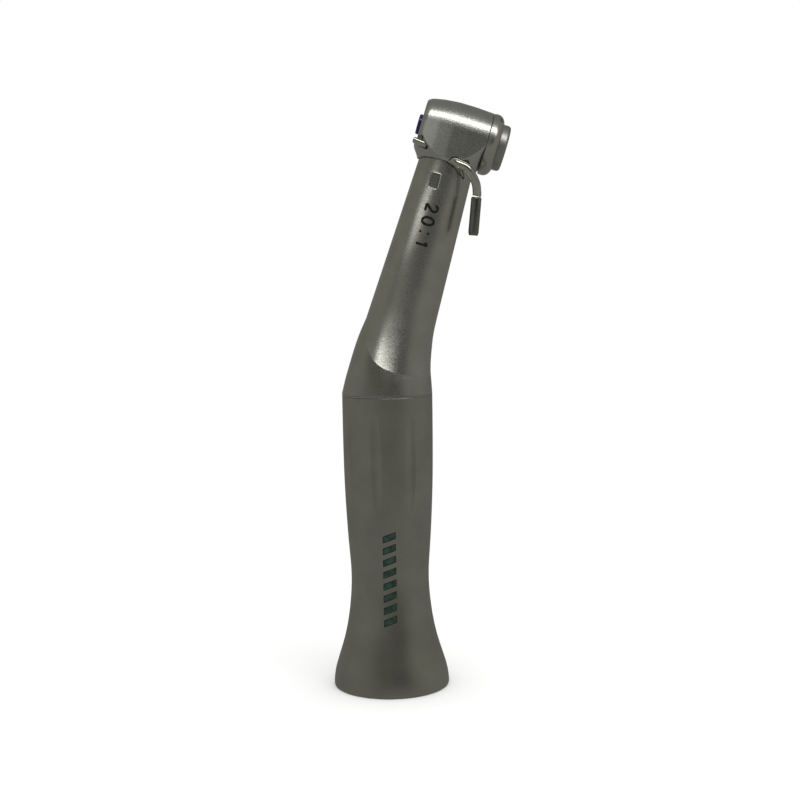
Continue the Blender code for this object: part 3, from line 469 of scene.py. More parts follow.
def handle_ring(radius, z):
    deep = DEEP * (1 - ((z - MID) / HALF) ** 2) if radius is None else -1
    r = float(handle_radius(z)) if radius is None else radius
    away = max(abs(z - MID) - HALF, 0.0) if radius is None else 9.0
    edge = WIDE * math.sqrt(max(deep, 0.0) / DEEP)
    edge = max(edge, min(0.10 + 0.22 * away, 1.3))
    ring = []
    for k in range(FLUTES):
        mid = math.radians(FIRST + 360 / FLUTES * k)
        arc = IN_FLUTE * edge
        low = np.maximum(0, deep - (arc / WIDE) ** 2 * DEEP) if deep > 0 else 0 * arc
        ring += [((r - d) * math.cos(mid + s / r), (r - d) * math.sin(mid + s / r), z) for s, d in zip(arc, low)]
        first, last = mid + 1.12 * edge / r, mid + 2 * math.pi / FLUTES - 1.12 * edge / r
        ring += [(r * math.cos(a), r * math.sin(a), z) for a in first + (last - first) * BETWEEN]
    return ring


rows = handle_rows()
cols = FLUTES * (len(IN_FLUTE) + len(BETWEEN))
verts = np.concatenate([handle_ring(r, z) for r, z in rows])
handle = make("handle_shell", verts, grid_faces(len(rows), cols, wrap_rows=True), "handle", HANDLE_STEEL, replaces=["handle_sheath"], slot="handle_steel", angle=40)

lathe("handle_rim_ring", [(6.95, 50.43, 0.02), (7.755, 50.43, 0.05), (7.755, 50.625, 0.05), (6.95, 50.625, 0.02)], seg=256, n=3, frame_name="handle", mat=RIM_STEEL,
      replaces=["sheath_spacer_ring"], slot="bright_steel")

# Motor side, seen up the rear opening.
lathe("motor_socket", [(4.60, 2.0, 0.18), (5.98, 2.0, 0.14), (5.98, 24.9, 0.05), (4.60, 24.9, 0.05), (4.60, 8.4, 0.03), (5.15, 8.4, 0.03), (5.15, 7.3, 0.03), (4.60, 7.3, 0.06)],
      seg=160, frame_name="handle", mat=BODY_STEEL, replaces=["coupling_tube"], slot="body_steel")

# ------------------------------------------------------------------ neck: elbow cone run into the leaning barrel
LEFT = np.array([(50.65, 7.68), (50.85, 7.74), (51.9, 7.49), (53.27, 7.14), (54.64, 6.73), (56.0, 6.30), (57.4, 5.86), (58.75, 5.42), (60.1, 4.93), (61.5, 4.36), (63.3, 3.53), (64.5, 2.95), (66.5, 1.9), (70.0, 0.3)])
RIGHT = np.array([(50.65, 7.68), (50.85, 7.72), (51.9, 7.66), (53.27, 7.57), (54.64, 7.45), (56.0, 7.18), (57.4, 6.7), (58.75, 6.0), (60.1, 5.2), (61.5, 4.4), (63.3, 3.5), (64.5, 2.9), (66.5, 1.9), (70.0, 0.3)])
FLARE = np.array([(-3, 2.0), (0, 1.72), (.98, 1.43), (2.28, 1.04), (3.59, .74), (4.97, .50), (6.31, .30), (7.63, .12), (9.06, .03), (11, 0)])


def soften(table, knots=900, width=31):
    """A table of (x, value) read through a smooth curve, so that reflections run without kinks."""
    xs = np.linspace(table[0, 0], table[-1, 0], knots)
    vs = np.interp(xs, table[:, 0], table[:, 1])
    for _ in range(2):
        vs = np.convolve(np.pad(vs, width // 2, mode="reflect", reflect_type="odd"), np.ones(width) / width, "valid")
    return lambda x: np.interp(x, xs, vs)


left_r, right_r, flare_r = soften(LEFT[1:]), soften(RIGHT[1:]), soften(FLARE)


def neck_radius(t):
    return np.minimum(6.20, 5.83 + 0.0415 * (9 - t))


def elbow_gap(x, y, z):
    """Below zero inside the elbow's cone, in the handle's frame."""
    c = x / np.maximum(np.hypot(x, y), 1e-6)
    L, R = left_r(z), right_r(z)
    return np.hypot(x, y) - (L + (R - L) * ((1 + c) / 2) ** 3)


def lean_gap(x, y, z):
    """Below zero inside the leaning barrel, in the handle's frame."""
    zb = z - BEND_Z
    xn, t = x * COS - zb * SIN, x * SIN + zb * COS
    c = xn / np.maximum(np.hypot(xn, y), 1e-6)
    return np.hypot(xn, y) - (neck_radius(t) + flare_r(t) * ((1 + c) / 2) ** 1.6)


PIVOT = (43.5, 50.85)
TOP_T = 9.0
END_TILT = BEND


def fan(tilt, psi):
    """Centre and direction of the ray at psi in the plane of that tilt, which runs through the pivot line."""
    m = np.tan(tilt)
    z0 = PIVOT[1] + PIVOT[0] * m
    s = np.maximum(0, (PIVOT[1] + PIVOT[0] * m - BEND_Z) / (COS + SIN * m))
    on_neck = z0 > BEND_Z
    cx, cz = np.where(on_neck, s * SIN, 0), np.where(on_neck, BEND_Z + s * COS, z0)
    ex = np.stack([np.cos(psi) * np.cos(tilt), np.sin(psi), -np.cos(psi) * np.sin(tilt)], -1)
    return np.stack([cx, 0 * cx, cz], -1), ex


def reach(gap, tilt, psi, far=13.0):
    """How far the ray goes before it leaves the shape."""
    c, e = fan(tilt, psi)
    low, high = np.zeros(np.shape(tilt)), np.full(np.shape(tilt), far)
    for _ in range(44):
        mid = (low + high) / 2
        p = c + e * mid[..., None]
        out = gap(p[..., 0], p[..., 1], p[..., 2]) > 0
        high, low = np.where(out, mid, high), np.where(out, low, mid)
    return (low + high) / 2


# The plane at TOP_T across the neck has to be the fan's last plane, so the pivot height follows from it.
x_pivot = (TOP_T - (PIVOT[1] - BEND_Z) * COS) / SIN
PIVOT = (x_pivot, PIVOT[1])

near_u = np.linspace(-1.5, 3.7, 112)                                  # dense columns over the window and the clip
near_phi = -math.pi / 2 + np.arcsin(np.clip(near_u / 4.75, -1, 1))
rest_phi = np.linspace(near_phi[-1], near_phi[0] + 2 * math.pi, 190)[1:-1]
PHI = np.concatenate([near_phi, rest_phi])
N = len(PHI)

# Where the elbow's cone gives way to the barrel, for each column.
scan = np.linspace(0.0, END_TILT, 300)
T, P = np.meshgrid(scan, PHI, indexing="ij")
gap = reach(elbow_gap, T, P) - reach(lean_gap, T, P)
crease = np.full(N, np.nan)
for i in range(N):
    column = gap[:, i]
    change = np.where((column[:-1] > 0) & (column[1:] <= 0))[0]
    if len(change):
        k = change[-1]
        crease[i] = scan[k] + (scan[1] - scan[0]) * column[k] / (column[k] - column[k + 1] + 1e-12)
known = ~np.isnan(crease) & (crease > math.radians(1.2))
order = np.argsort(PHI)
xp = np.concatenate([PHI[known] - 2 * math.pi, PHI[known], PHI[known] + 2 * math.pi])
fp = np.concatenate([crease[known]] * 3)
srt = np.argsort(xp)
crease = np.interp(PHI, xp[srt], fp[srt])
crease = np.clip(crease, math.radians(1.5), END_TILT * 0.93)

ease = lambda n, p: 1 - (1 - np.linspace(0, 1, n)) ** p
low_share = ease(46, 2.2)
high_share = 1 - ease(44, 2.2)[::-1]
tilts = [crease * s for s in low_share] + [crease + (END_TILT - crease) * s for s in high_share[1:]]
tilts = np.array(tilts)
psis = np.broadcast_to(PHI, tilts.shape)
radius = np.maximum(reach(elbow_gap, tilts, psis), reach(lean_gap, tilts, psis))
c, e = fan(tilts, psis)
elbow_rows = c + e * radius[..., None]                                # handle frame


def to_neck(p):
    """Handle frame to neck frame."""
    zb = p[..., 2] - BEND_Z
    return np.stack([p[..., 0] * COS - zb * SIN, p[..., 1], p[..., 0] * SIN + zb * COS], -1)


# The rear edge rolls in and drops into the joint with the handle.
foot = []
for r, z in [(6.85, 50.9), (6.9, 50.72), (7.30, 50.66), (7.66, 50.65), (7.715, 50.67), (7.735, 50.72)]:
    foot.append(np.stack([r * np.cos(PHI), r * np.sin(PHI), np.full(N, z)], -1))
elbow_rows = to_neck(np.concatenate([np.array(foot), elbow_rows]))

# Barrel above the elbow, ending in the saddle that the head's collar sits in.
def seam_v(y):
    """How far up the neck (from the chuck's axis, so below zero) the joint with the head's collar runs."""
    return -5.62 + 0.58 * (1 - np.exp(-(y / 2.7) ** 2))


mid_t = np.linspace(TOP_T, 31.2, 54)[1:]
barrel = []
for t in mid_t:
    r = neck_radius(t) + flare_r(t) * ((1 + np.cos(PHI)) / 2) ** 1.6
    barrel.append(np.stack([r * np.cos(PHI), r * np.sin(PHI), np.full(N, t)], -1))
end_r = neck_radius(36.0)
end_t = HEAD_T + seam_v(end_r * np.sin(PHI)) - 0.025
shares = np.linspace(0, 1, 112)[1:]
TT = 31.2 + (end_t[None] - 31.2) * shares[:, None]
RR = neck_radius(TT)
PP = np.broadcast_to(PHI, TT.shape)

TUBE_ROUTE = [on_head(-0.3, -4.55, -3.75), on_head(0.9, -4.7, -4.75), on_head(1.93, -5.0, -5.5), on_head(3.58, -5.38, -5.65),
              on_head(5.37, -7.03, -5.2), on_head(6.15, -8.66, -4.8), on_head(6.22, -9.15, -4.75)]
TUBE_R = 0.725
tube_points = smooth_route(TUBE_ROUTE, 90)
tube_neck = to_neck(np.array([tuple(p) for p in tube_points]))
WEDGE = np.array([(0.95, -5.35), (2.35, -5.15), (3.38, -6.85)])       # (u, v) of the clip's corners


def polygon_field(u, v, corners):
    best, inside = np.full(np.shape(u), 1e9), np.zeros(np.shape(u), bool)
    for (a0, b0), (a1, b1) in zip(corners, np.roll(corners, -1, 0)):
        da, db = a1 - a0, b1 - b0
        s = np.clip(((u - a0) * da + (v - b0) * db) / (da * da + db * db), 0, 1)
        best = np.minimum(best, (u - a0 - s * da) ** 2 + (v - b0 - s * db) ** 2)
        cross = (v < b0) != (v < b1)
        inside ^= cross & (u < a0 + (v - b0) * da / np.where(db == 0, 1, db))
    return np.where(inside, -np.sqrt(best), np.sqrt(best))


def ramp(x, width):
    """1 inside, 0 outside, over a wall of that width, both ends eased."""
    s = np.clip(0.5 - x / width, 0, 1)
    return s * s * (3 - 2 * s)


xn, yn = RR * np.cos(PP), RR * np.sin(PP)
front = yn < 0
wx, wt = -1.20, 32.90
du, dv = xn - wx, TT - wt
window = np.sqrt(np.maximum(np.abs(du) - 0.50, 0) ** 2 + np.maximum(np.abs(dv) - 1.05, 0) ** 2) - 0.13
flat = RR - 4.08 / np.maximum(np.abs(np.sin(PP)), 0.3)                 # down to a flat floor, just under the key
cut = flat * ramp(window, 0.13)
lip = 0.05 * np.clip(1 - np.abs(window - 0.16) / 0.16, 0, 1) ** 2      # the punched edge rolls over a little
wedge = polygon_field(xn, TT - HEAD_T, WEDGE) - 0.15
cut = np.maximum(cut, 0.55 * ramp(wedge, 0.10))
SLOT_C, SLOT_D = (2.05, -4.84), (0.939, 0.345)                         # the slot the tube comes out of, in (u, v)
sa = (xn - SLOT_C[0]) * SLOT_D[0] + (TT - HEAD_T - SLOT_C[1]) * SLOT_D[1]
sb = -(xn - SLOT_C[0]) * SLOT_D[1] + (TT - HEAD_T - SLOT_C[1]) * SLOT_D[0]
slot_gap = np.sqrt(np.maximum(np.abs(sa) - 1.20, 0) ** 2 + np.maximum(np.abs(sb) - 0.10, 0) ** 2) - 0.34
cut = np.maximum(cut, 0.75 * ramp(slot_gap, 0.12))
cut = np.where(front, cut, 0)
lip = np.where(front, lip, 0)
RR = RR - cut - np.where(cut > 0.02, 0, lip)
for i in range(18):                                                   # the way the tube takes past the collar
    x, y = RR * np.cos(PP), RR * np.sin(PP)
    near = front & (xn > -1.4) & (xn < 4.6) & (TT > 34.0)
    d = np.full(TT.shape, 9.0)
    q = np.stack([x[near], y[near], TT[near]], -1)
    best = np.full(len(q), 81.0)
    for a, b in zip(tube_neck[:70:2], tube_neck[2:72:2]):
        ab = b - a
        s = np.clip(((q - a) @ ab) / (ab @ ab), 0, 1)
        best = np.minimum(best, ((q - a - s[:, None] * ab) ** 2).sum(1))
    d[near] = np.sqrt(best)
    RR = RR - np.clip((TUBE_R + 0.10) - d, 0, 0.12) * near
RR = np.maximum(RR, 3.95)
tops = np.stack([RR * np.cos(PP), RR * np.sin(PP), TT], -1)
inner = []
for r, back in [(3.85, 0.02), (3.80, 0.2)]:
    inner.append(np.stack([r * np.cos(PHI), r * np.sin(PHI), HEAD_T + seam_v(r * np.sin(PHI)) - 0.025 - back], -1))
for r, t in [(3.80, 20.0), (3.80, -1.0), (4.65, -2.4)]:
    inner.append(np.stack([r * np.cos(PHI), r * np.sin(PHI), np.full(N, t)], -1))
knee = len(foot) + len(low_share) - 1                                # the row that runs along the crease
step = elbow_rows[knee] * (0.93, 0.93, 1.0)
low_rows = np.concatenate([elbow_rows[:knee + 1], step[None]])
# The cone below the crease is its own piece, so that it carries the painted-shade copy of the neck's steel.
elbow = make("elbow_shell", low_rows.reshape(-1, 3), grid_faces(len(low_rows), N, wrap_rows=True), "neck", ELBOW_STEEL_PAINTED_SHADE, slot="neck_steel", angle=0)
elbow.data.set_sharp_from_angle(angle=math.radians(9))
rows = np.concatenate([elbow_rows[knee:], np.array(barrel), tops, np.array(inner)])
neck = make("neck_shell", rows.reshape(-1, 3), grid_faces(len(rows), N, wrap_rows=True), "neck", NECK_STEEL, replaces=["neck_sheath"], slot="neck_steel", angle=0)
mesh = neck.data
mesh.set_sharp_from_angle(angle=math.radians(9))

# Lock key in the window, and the clip that holds the tube.
key = [(x * sx, y, z * sz) for y in (-4.00, -4.26, -4.29) for (x, z) in [(0.60, 1.16), (0.57, 1.13)][(1 if y < -4.28 else 0):][:1]
       for sx, sz in ((1, 1), (-1, 1), (-1, -1), (1, -1))]
key = [(x + wx, y, z + wt) for x, y, z in key]
make("window_key", key, [tuple(f) for f in grid_faces(3, 4)] + [(3, 2, 1, 0), (8, 9, 10, 11)], "neck", CAP_STEEL, replaces=["lock_key"], slot="neck_steel", angle=30)


def plate(name, corners, grow, top, bottom, mat, replaces=(), slot=None, edge=0.06):
    """A plate let into the neck's near side: outline in (u, v), faces curved round the neck's axis."""
    centre = corners.mean(0)
    ring, steps = [], 9
    n = len(corners)
    for i in range(n):
        a, b, p = corners[i - 1], corners[(i + 1) % n], corners[i]
        pa, pb = p + (a - p) * 0.10, p + (b - p) * 0.10
        ring += [tuple(pa * (1 - s) ** 2 + p * 2 * s * (1 - s) + pb * s * s) for s in (0, 0.33, 0.66, 1)]
        ring += [tuple(pb + (b + (p - b) * 0.10 - pb) * s) for s in np.linspace(0, 1, steps)[1:-1]]
    ring = np.array(ring)
    verts, rows_ = [], 0
    for inset, radius_ in ((0.0, bottom), (0.0, top - edge), (edge * 0.35, top - edge * 0.3), (edge, top), (0.32, top), (0.55, top), (0.99, top)):
        d = ring - centre
        length = np.linalg.norm(d, axis=1, keepdims=True)
        q = centre + d * (1 + grow / length) * (1 - (inset if inset > 0.2 else inset / length))
        for u, v in q:
            verts.append((u, -math.sqrt(max(radius_ ** 2 - u * u, 0)), v + HEAD_T))
        rows_ += 1
    m = len(ring)
    faces = [tuple(f) for f in grid_faces(rows_, m)]
    faces.append(tuple(range(m))[::-1])
    faces.append(tuple((rows_ - 1) * m + k for k in range(m)))
    obj = make(name, verts, faces, "neck", mat, replaces=replaces, slot=slot, angle=35, weighted=True)
    return obj


plate("tube_clip_plate", WEDGE, 0.02, 4.86, 4.15, NECK_STEEL, replaces=["tube_clip"], slot="neck_steel")

# ------------------------------------------------------------------ head: barrel, collar flare, chin and what is cut from them
def smooth_line(points, step=0.04, width=13, passes=2):
    """An open outline resampled and eased, with its ends kept."""
    pts = np.asarray(points, float)
    run = np.concatenate([[0], np.cumsum(np.linalg.norm(np.diff(pts, axis=0), axis=1))])
    s = np.linspace(0, run[-1], int(run[-1] / step) + 2)
    out = np.stack([np.interp(s, run, pts[:, i]) for i in (0, 1)], -1)
    for _ in range(passes):
        pad = np.pad(out, ((width // 2, width // 2), (0, 0)), mode="reflect", reflect_type="odd")
        out = np.stack([np.convolve(pad[:, i], np.ones(width) / width, "valid") for i in (0, 1)], -1)
    return out


wall = smooth_line([(4.39, -5.75), (4.74, -5.16), (5.12, -3.16), (5.34, -0.6), (5.33, 2.04), (5.18, 4.72), (5.155, 5.32)], width=17)
BARREL_OUT = [(0, -5.95), (3.95, -5.95), (4.12, -5.93), (4.28, -5.86)] + [tuple(p) for p in wall] + [(5.145, 5.36), (5.10, 5.38), (0, 5.38)]
flare = smooth_line([(4.72, -5.9), (5.32, -4.77), (5.80, -4.2), (6.26, -3.46), (6.80, -2.41), (7.06, -1.9), (7.36, -1.15), (7.70, -0.5), (8.6, 0.6)], width=21)
COLLAR_OUT = [(0, -6.9), (4.72, -6.9)] + [tuple(p) for p in flare] + [(9.6, 0.6), (9.6, 7.6), (0, 7.6)]
low_flare = smooth_line([(4.72, -5.9), (5.32, -4.77), (5.80, -4.2), (6.26, -3.46), (6.28, -2.9)], width=13)
CHIN_OUT = [(0, -6.9), (4.72, -6.9)] + [tuple(p) for p in low_flare] + [(6.2, -2.75), (0, -2.75)]
barrel_f = profile_field(BARREL_OUT, (-0.1, -7.2), (9.5, 6.4))
collar_f = profile_field(COLLAR_OUT, (-0.1, -7.6), (9.5, 7.4))
chin_f = profile_field(CHIN_OUT, (-0.1, -7.6), (9.5, 2.0))
bore_f = profile_field([(0, -7.4), (2.65, -7.4), (2.65, -5.15), (4.25, -5.15), (4.25, -2.95), (4.5, -2.95), (4.5, 6.3), (0, 6.3)], (-0.1, -7.2), (9.5, 6.4))


def head_side(p):
    """Handle frame to head frame."""
    n = to_neck(np.asarray(p, float))
    return np.stack([-(n[..., 2] - HEAD_T), n[..., 1], n[..., 0]], -1)


tube_head = head_side([tuple(p) for p in tube_points])
NOZZLE_A, NOZZLE_B = on_head(-4.10, -3.38, -4.15), on_head(-6.43, -3.07, -3.7)
nozzle_dir = (NOZZLE_B - NOZZLE_A).normalized()
nozzle_path = head_side([tuple(NOZZLE_A - nozzle_dir * 0.2), tuple(NOZZLE_B + nozzle_dir * 0.6)])


def head_field(x, y, z):
    u, v = z, -x
    rho = np.where(v > 0, np.sqrt(y * y + v * v), np.abs(y))
    r_neck = np.sqrt(u * u + y * y)
    body = smax(barrel_f(rho, u), collar_f(r_neck, v), 0.16)
    chin = smax(smax(chin_f(r_neck, v), np.abs(y) - 3.9, 0.15), u + 0.5, 0.1)
    d = smin(body, chin, 0.35)
    d = smax(d, seam_v(y) + 0.025 - v, 0.06)
    d = smax(d, -bore_f(np.sqrt(x * x + y * y), u), 0.05)
    d = smax(d, -np.maximum(r_neck - 2.60, v), 0.05)
    d = smax(d, -box_field(x, y, z, (3.12, -4.1, -6.25), (1.02, 1.25, 1.30), 0.35), 0.06)
    d = smax(d, 0.63 - path_field(x, y, z, nozzle_path), 0.04)
    d = smax(d, TUBE_R + 0.12 - path_field(x, y, z, tube_head[:60:3]), 0.04)
    a = (u - SLOT_C[0]) * SLOT_D[0] + (v - SLOT_C[1]) * SLOT_D[1]
    b = -(u - SLOT_C[0]) * SLOT_D[1] + (v - SLOT_C[1]) * SLOT_D[0]
    d = smax(d, -box_field(a, b, y, (0, 0.02, -5.3), (1.54, 0.46, 1.55), 0.36), 0.05)
    return d


def skin(name, field, lo, hi, h, frame_name, mat, **kw):
    """A piece whose surface and normals both come from the field."""
    points, quads = net(field, lo, hi, h)
    a, b, c, e = (points[quads[:, k]] for k in range(4))
    volume = (np.einsum("ij,ij->i", a, np.cross(b, c)) + np.einsum("ij,ij->i", a, np.cross(c, e))).sum()
    if volume < 0:
        quads = quads[:, ::-1]
    obj = make(name, points, quads, frame_name, mat, angle=0, **kw)
    step = h * 0.35
    g = np.stack([field(*(points + d).T) - field(*(points - d).T) for d in np.eye(3) * step], -1)
    g /= np.maximum(np.linalg.norm(g, axis=1, keepdims=True), 1e-9)
    obj.data.normals_split_custom_set_from_vertices([tuple(q) for q in g])
    return obj


head = skin("head_shell", head_field, (-5.75, -5.75, -6.75), (6.6, 5.75, 5.7), 0.106, "head", HEAD_STEEL, replaces=["head_housing"], slot="head_steel")

# ------------------------------------------------------------------ cap, push button, coloured ring
CAP_OUT = [(4.20, 5.02), (4.45, 5.02), (4.45, 5.44), (5.10, 5.44), (5.15, 5.50), (5.22, 5.9), (5.20, 6.4), (5.02, 6.85), (4.70, 7.18), (4.25, 7.42), (4.02, 7.50), (3.94, 7.48), (3.94, 6.95), (4.20, 6.85)]
cap_wall = smooth_line([(5.15, 5.50), (5.22, 5.9), (5.20, 6.4), (5.02, 6.85), (4.70, 7.18), (4.25, 7.42), (4.05, 7.49)], step=0.03, width=9)
CAP_LINE = [(4.20, 5.02), (4.45, 5.02), (4.45, 5.44), (5.12, 5.44)] + [tuple(p) for p in cap_wall] + [(3.97, 7.49), (3.94, 7.45), (3.94, 6.95), (4.20, 6.85)]
cap_f = profile_field(CAP_LINE, (3.6, 4.7), (5.6, 7.8), 0.015)
TURN = math.radians(-40)


def cap_field(x, y, z):
    d = cap_f(np.sqrt(x * x + y * y), z)
    dx, dy = x + 4.55, y + 3.4
    a, b = dx * math.cos(TURN) + dy * math.sin(TURN), -dx * math.sin(TURN) + dy * math.cos(TURN)
    d = smax(d, -box_field(a, b, z, (0, 0, 7.1), (0.35, 1.5, 0.6), 0.08), 0.03)
    dimple = np.sqrt((x - 4.03) ** 2 + (y + 4.10) ** 2 + (z - 6.00) ** 2) - 0.68
    return smax(d, -dimple, 0.08)


cap = skin("cap_ring", cap_field, (-5.35, -5.35, 4.9), (5.35, 5.35, 7.62), 0.07, "head", CAP_STEEL, replaces=["head_cap"], slot="head_steel")
lathe("push_button_cap", [(0, 6.12), (4.10, 6.12, 0.02), (4.10, 6.80, 0.03), (3.87, 6.86, 0.02), (3.87, 8.45, 0.30), (3.62, 8.78, 0.18), (3.2, 8.85, 0.18), (2.8, 8.74, 0.2), (0, 8.74)],
      seg=160, n=6, frame_name="head", mat=BUTTON_STEEL, body="button", replaces=["push_button"], slot="head_steel")
turns = [2 * math.pi * 1.75 * i / 129 for i in range(130)]
coil = sweep("coil_spring", [(3.1 * math.cos(a), 3.1 * math.sin(a), 5.12 + 0.82 * i / 129) for i, a in enumerate(turns)], [0.15] * 130, sides=16,
             frame_name="head", mat=SPRING_STEEL, replaces=["button_spring"], slot="spring_steel")
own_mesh(coil)
lathe("chuck_ring", [(1.30, -6.55, 0.05), (1.55, -6.55, 0.06), (1.70, -6.40, 0.06), (1.70, -5.95, 0.03), (1.30, -5.95, 0.02)], seg=96, n=4, frame_name="head", mat=BLUE,
      body="spindle", replaces=["colour_ring"], slot="blue_ring")
lathe("chuck_sleeve", [(1.45, -5.90, 0.03), (1.72, -5.90, 0.05), (1.72, -5.25, 0.03), (2.0, -5.25, 0.03), (2.0, 5.1, 0.05), (1.45, 5.1, 0.05)], seg=96, frame_name="head", mat=SHAFT_STEEL,
      body="spindle", replaces=["chuck_spindle"], slot="shaft_steel")
lathe("lip_seal", [(1.78, -5.85, 0.04), (2.60, -5.85, 0.04), (2.60, -5.35, 0.04), (1.78, -5.35, 0.04)], seg=96, frame_name="head", mat=RUBBER,
      body="housing", replaces=["front_seal"], slot="seal_rubber")

# ------------------------------------------------------------------ irrigation tube, hose nipple, spray nozzle
tube_line = [tuple(p) for p in tube_points]
sweep("irrigation_pipe", tube_line, [TUBE_R] * len(tube_line), sides=40, frame_name="handle", mat=BRIGHT_STEEL, replaces=["irrigation_tube"], slot="bright_steel")


def along(a, b):
    """The turn and shift that put a turned piece's axis from a to b."""
    return Matrix.Translation(a * MM) @ (b - a).normalized().to_track_quat("Z", "Y").to_matrix().to_4x4()


NIPPLE_A, NIPPLE_B = on_head(6.25, -9.32, -4.75), on_head(7.53, -15.54, -4.55)
NL = (NIPPLE_B - NIPPLE_A).length
# The spigot wears the dark painted-shade copy of the bright steel.
lathe("hose_spigot", [(0, 0), (0.70, 0, 0.02), (0.87, 0.20, 0.03), (0.87, NL - 0.5, 0.06), (0.73, NL, 0.05), (0.48, NL, 0.03), (0.48, NL - 2.5, 0.02), (0, NL - 2.5)], seg=64, n=4,
      frame_name="handle", mat=SPIGOT_STEEL_PAINTED_SHADE, replaces=["hose_nipple"], slot="bright_steel", matrix=along(NIPPLE_A, NIPPLE_B))
ZL = (NOZZLE_B - NOZZLE_A).length
lathe("spray_tip", [(0, 0), (0.50, 0, 0.02), (0.50, ZL - 0.12, 0.03), (0.40, ZL, 0.05), (0.22, ZL, 0.03), (0.22, ZL - 0.9, 0.02), (0, ZL - 0.9)], seg=56, n=4,
      frame_name="handle", mat=BRIGHT_STEEL, replaces=["spray_nozzle"], slot="bright_steel", matrix=along(NOZZLE_A, NOZZLE_B))


# ------------------------------------------------------------------ markings laid on the metal
def on_neck(t, s, lift):
    """t along the neck, s round it from the near side: a point of the neck's surface, lifted by that much."""
    r = neck_radius(t)
    a = -math.pi / 2 + s / r
    return np.stack([(r + lift) * np.cos(a), (r + lift) * np.sin(a), t + 0 * a], -1)


def on_handle(t, s, lift):
    r = handle_radius(t)
    a = -math.pi / 2 + s / r
    return np.stack([(r + lift) * np.cos(a), (r + lift) * np.sin(a), t + 0 * a], -1)


def ribbon(path, width, surface, lift=0.018, closed=False):
    """A thin painted line along (t, s) points, as points and faces."""
    p = np.asarray(path, float)
    if closed:
        tangent = np.roll(p, -1, 0) - np.roll(p, 1, 0)
    else:
        tangent = np.gradient(p, axis=0)
    tangent /= np.maximum(np.linalg.norm(tangent, axis=1, keepdims=True), 1e-9)
    side = np.stack([-tangent[:, 1], tangent[:, 0]], -1)
    run = np.concatenate([[0], np.cumsum(np.linalg.norm(np.diff(p, axis=0), axis=1))])
    half = np.full(len(p), width / 2)
    if not closed:                                                     # round ends
        for away in (run, run[-1] - run):
            k = np.clip(1 - away / (width / 2), 0, 1)
            half = np.minimum(half, width / 2 * np.sqrt(np.maximum(1 - k * k, 0.004)))
    cols = []
    for share, up in ((-1, -0.05), (-1, lift * 0.5), (-0.9, lift), (0, lift), (0.9, lift), (1, lift * 0.5), (1, -0.05)):
        q = p + side * (half * share)[:, None]
        cols.append(surface(q[:, 0], q[:, 1], up))
    grid = np.stack(cols, 1)
    m = grid.shape[1]
    faces = [tuple(f) for f in grid_faces(len(p), m, closed=True, wrap_rows=closed)]
    if not closed:
        faces += [tuple(range(m))[::-1], tuple((len(p) - 1) * m + k for k in range(m))]
    return grid.reshape(-1, 3), faces


def facing_out(verts, faces):
    volume = 0.0
    for f in faces:
        a = verts[f[0]]
        for i in range(1, len(f) - 1):
            volume += float(np.dot(a, np.cross(verts[f[i]], verts[f[i + 1]])))
    return faces if volume > 0 else [f[::-1] for f in faces]


def gather(name, pieces, frame_name, mat, angle=40, **kw):
    verts, faces, n = [], [], 0
    for v, f in pieces:
        v = np.asarray(v, float)
        f = facing_out(v - v.mean(0), f)
        verts.append(v)
        faces += [tuple(i + n for i in q) for q in f]
        n += len(v)
    return make(name, np.concatenate(verts), faces, frame_name, mat, angle=angle, **kw)


def dense(points, step=0.035, smooth=0):
    pts = np.asarray(points, float)
    run = np.concatenate([[0], np.cumsum(np.linalg.norm(np.diff(pts, axis=0), axis=1))])
    s = np.linspace(0, run[-1], max(int(run[-1] / step), 4))
    out = np.stack([np.interp(s, run, pts[:, i]) for i in (0, 1)], -1)
    for _ in range(3 if smooth else 0):
        pad = np.pad(out, ((smooth, smooth), (0, 0)), mode="reflect", reflect_type="odd")
        out = np.stack([np.convolve(pad[:, i], np.ones(2 * smooth + 1) / (2 * smooth + 1), "valid") for i in (0, 1)], -1)
    return out


TALL, BASE = 2.22, -1.50                                               # numeral height, and where it stands round the neck


def glyph(points, start, lean=0.0):
    """Numeral points (across, up) put on the neck: across runs down the neck, up runs round it."""
    p = np.asarray(points, float)
    return np.stack([start - p[:, 0] + lean * p[:, 1], BASE + p[:, 1]], -1)


a = np.linspace(0, 2 * math.pi, 91)[:-1]
zero = np.stack([0.62 * np.sign(np.cos(a)) * np.abs(np.cos(a)) ** 0.84 + 0.62, 1.11 + 0.97 * np.sin(a)], -1)
hook = dense([(0.10, 1.62), (0.20, 1.92), (0.48, 2.14), (0.80, 2.16), (1.12, 1.98), (1.26, 1.62), (1.16, 1.28), (0.86, 0.92), (0.45, 0.53), (0.06, 0.14)], smooth=5)
one = dense([(0.10, 1.62), (0.36, 1.86), (0.56, 2.20)], smooth=3)
stroke = 0.44
marks = [
    ribbon(glyph(np.concatenate([hook]), 29.05), stroke, on_neck),
    ribbon(glyph(dense([(0.06, 0.14), (1.38, 0.14)]), 29.05), stroke, on_neck),
    ribbon(glyph(zero, 26.75), stroke, on_neck, closed=True),
    ribbon(glyph(one, 22.72), stroke, on_neck),
    ribbon(glyph(dense([(0.56, 2.20), (0.56, 0.13)]), 22.72), stroke, on_neck),
]
for t0, s0 in ((24.21, -1.17), (24.13, 0.24)):
    line = np.stack([t0 + np.linspace(-0.21, 0.21, 25), np.full(25, s0)], -1)
    marks.append(ribbon(line, 0.42, on_neck))
gather("ratio_numerals", marks, "neck", BLACK)


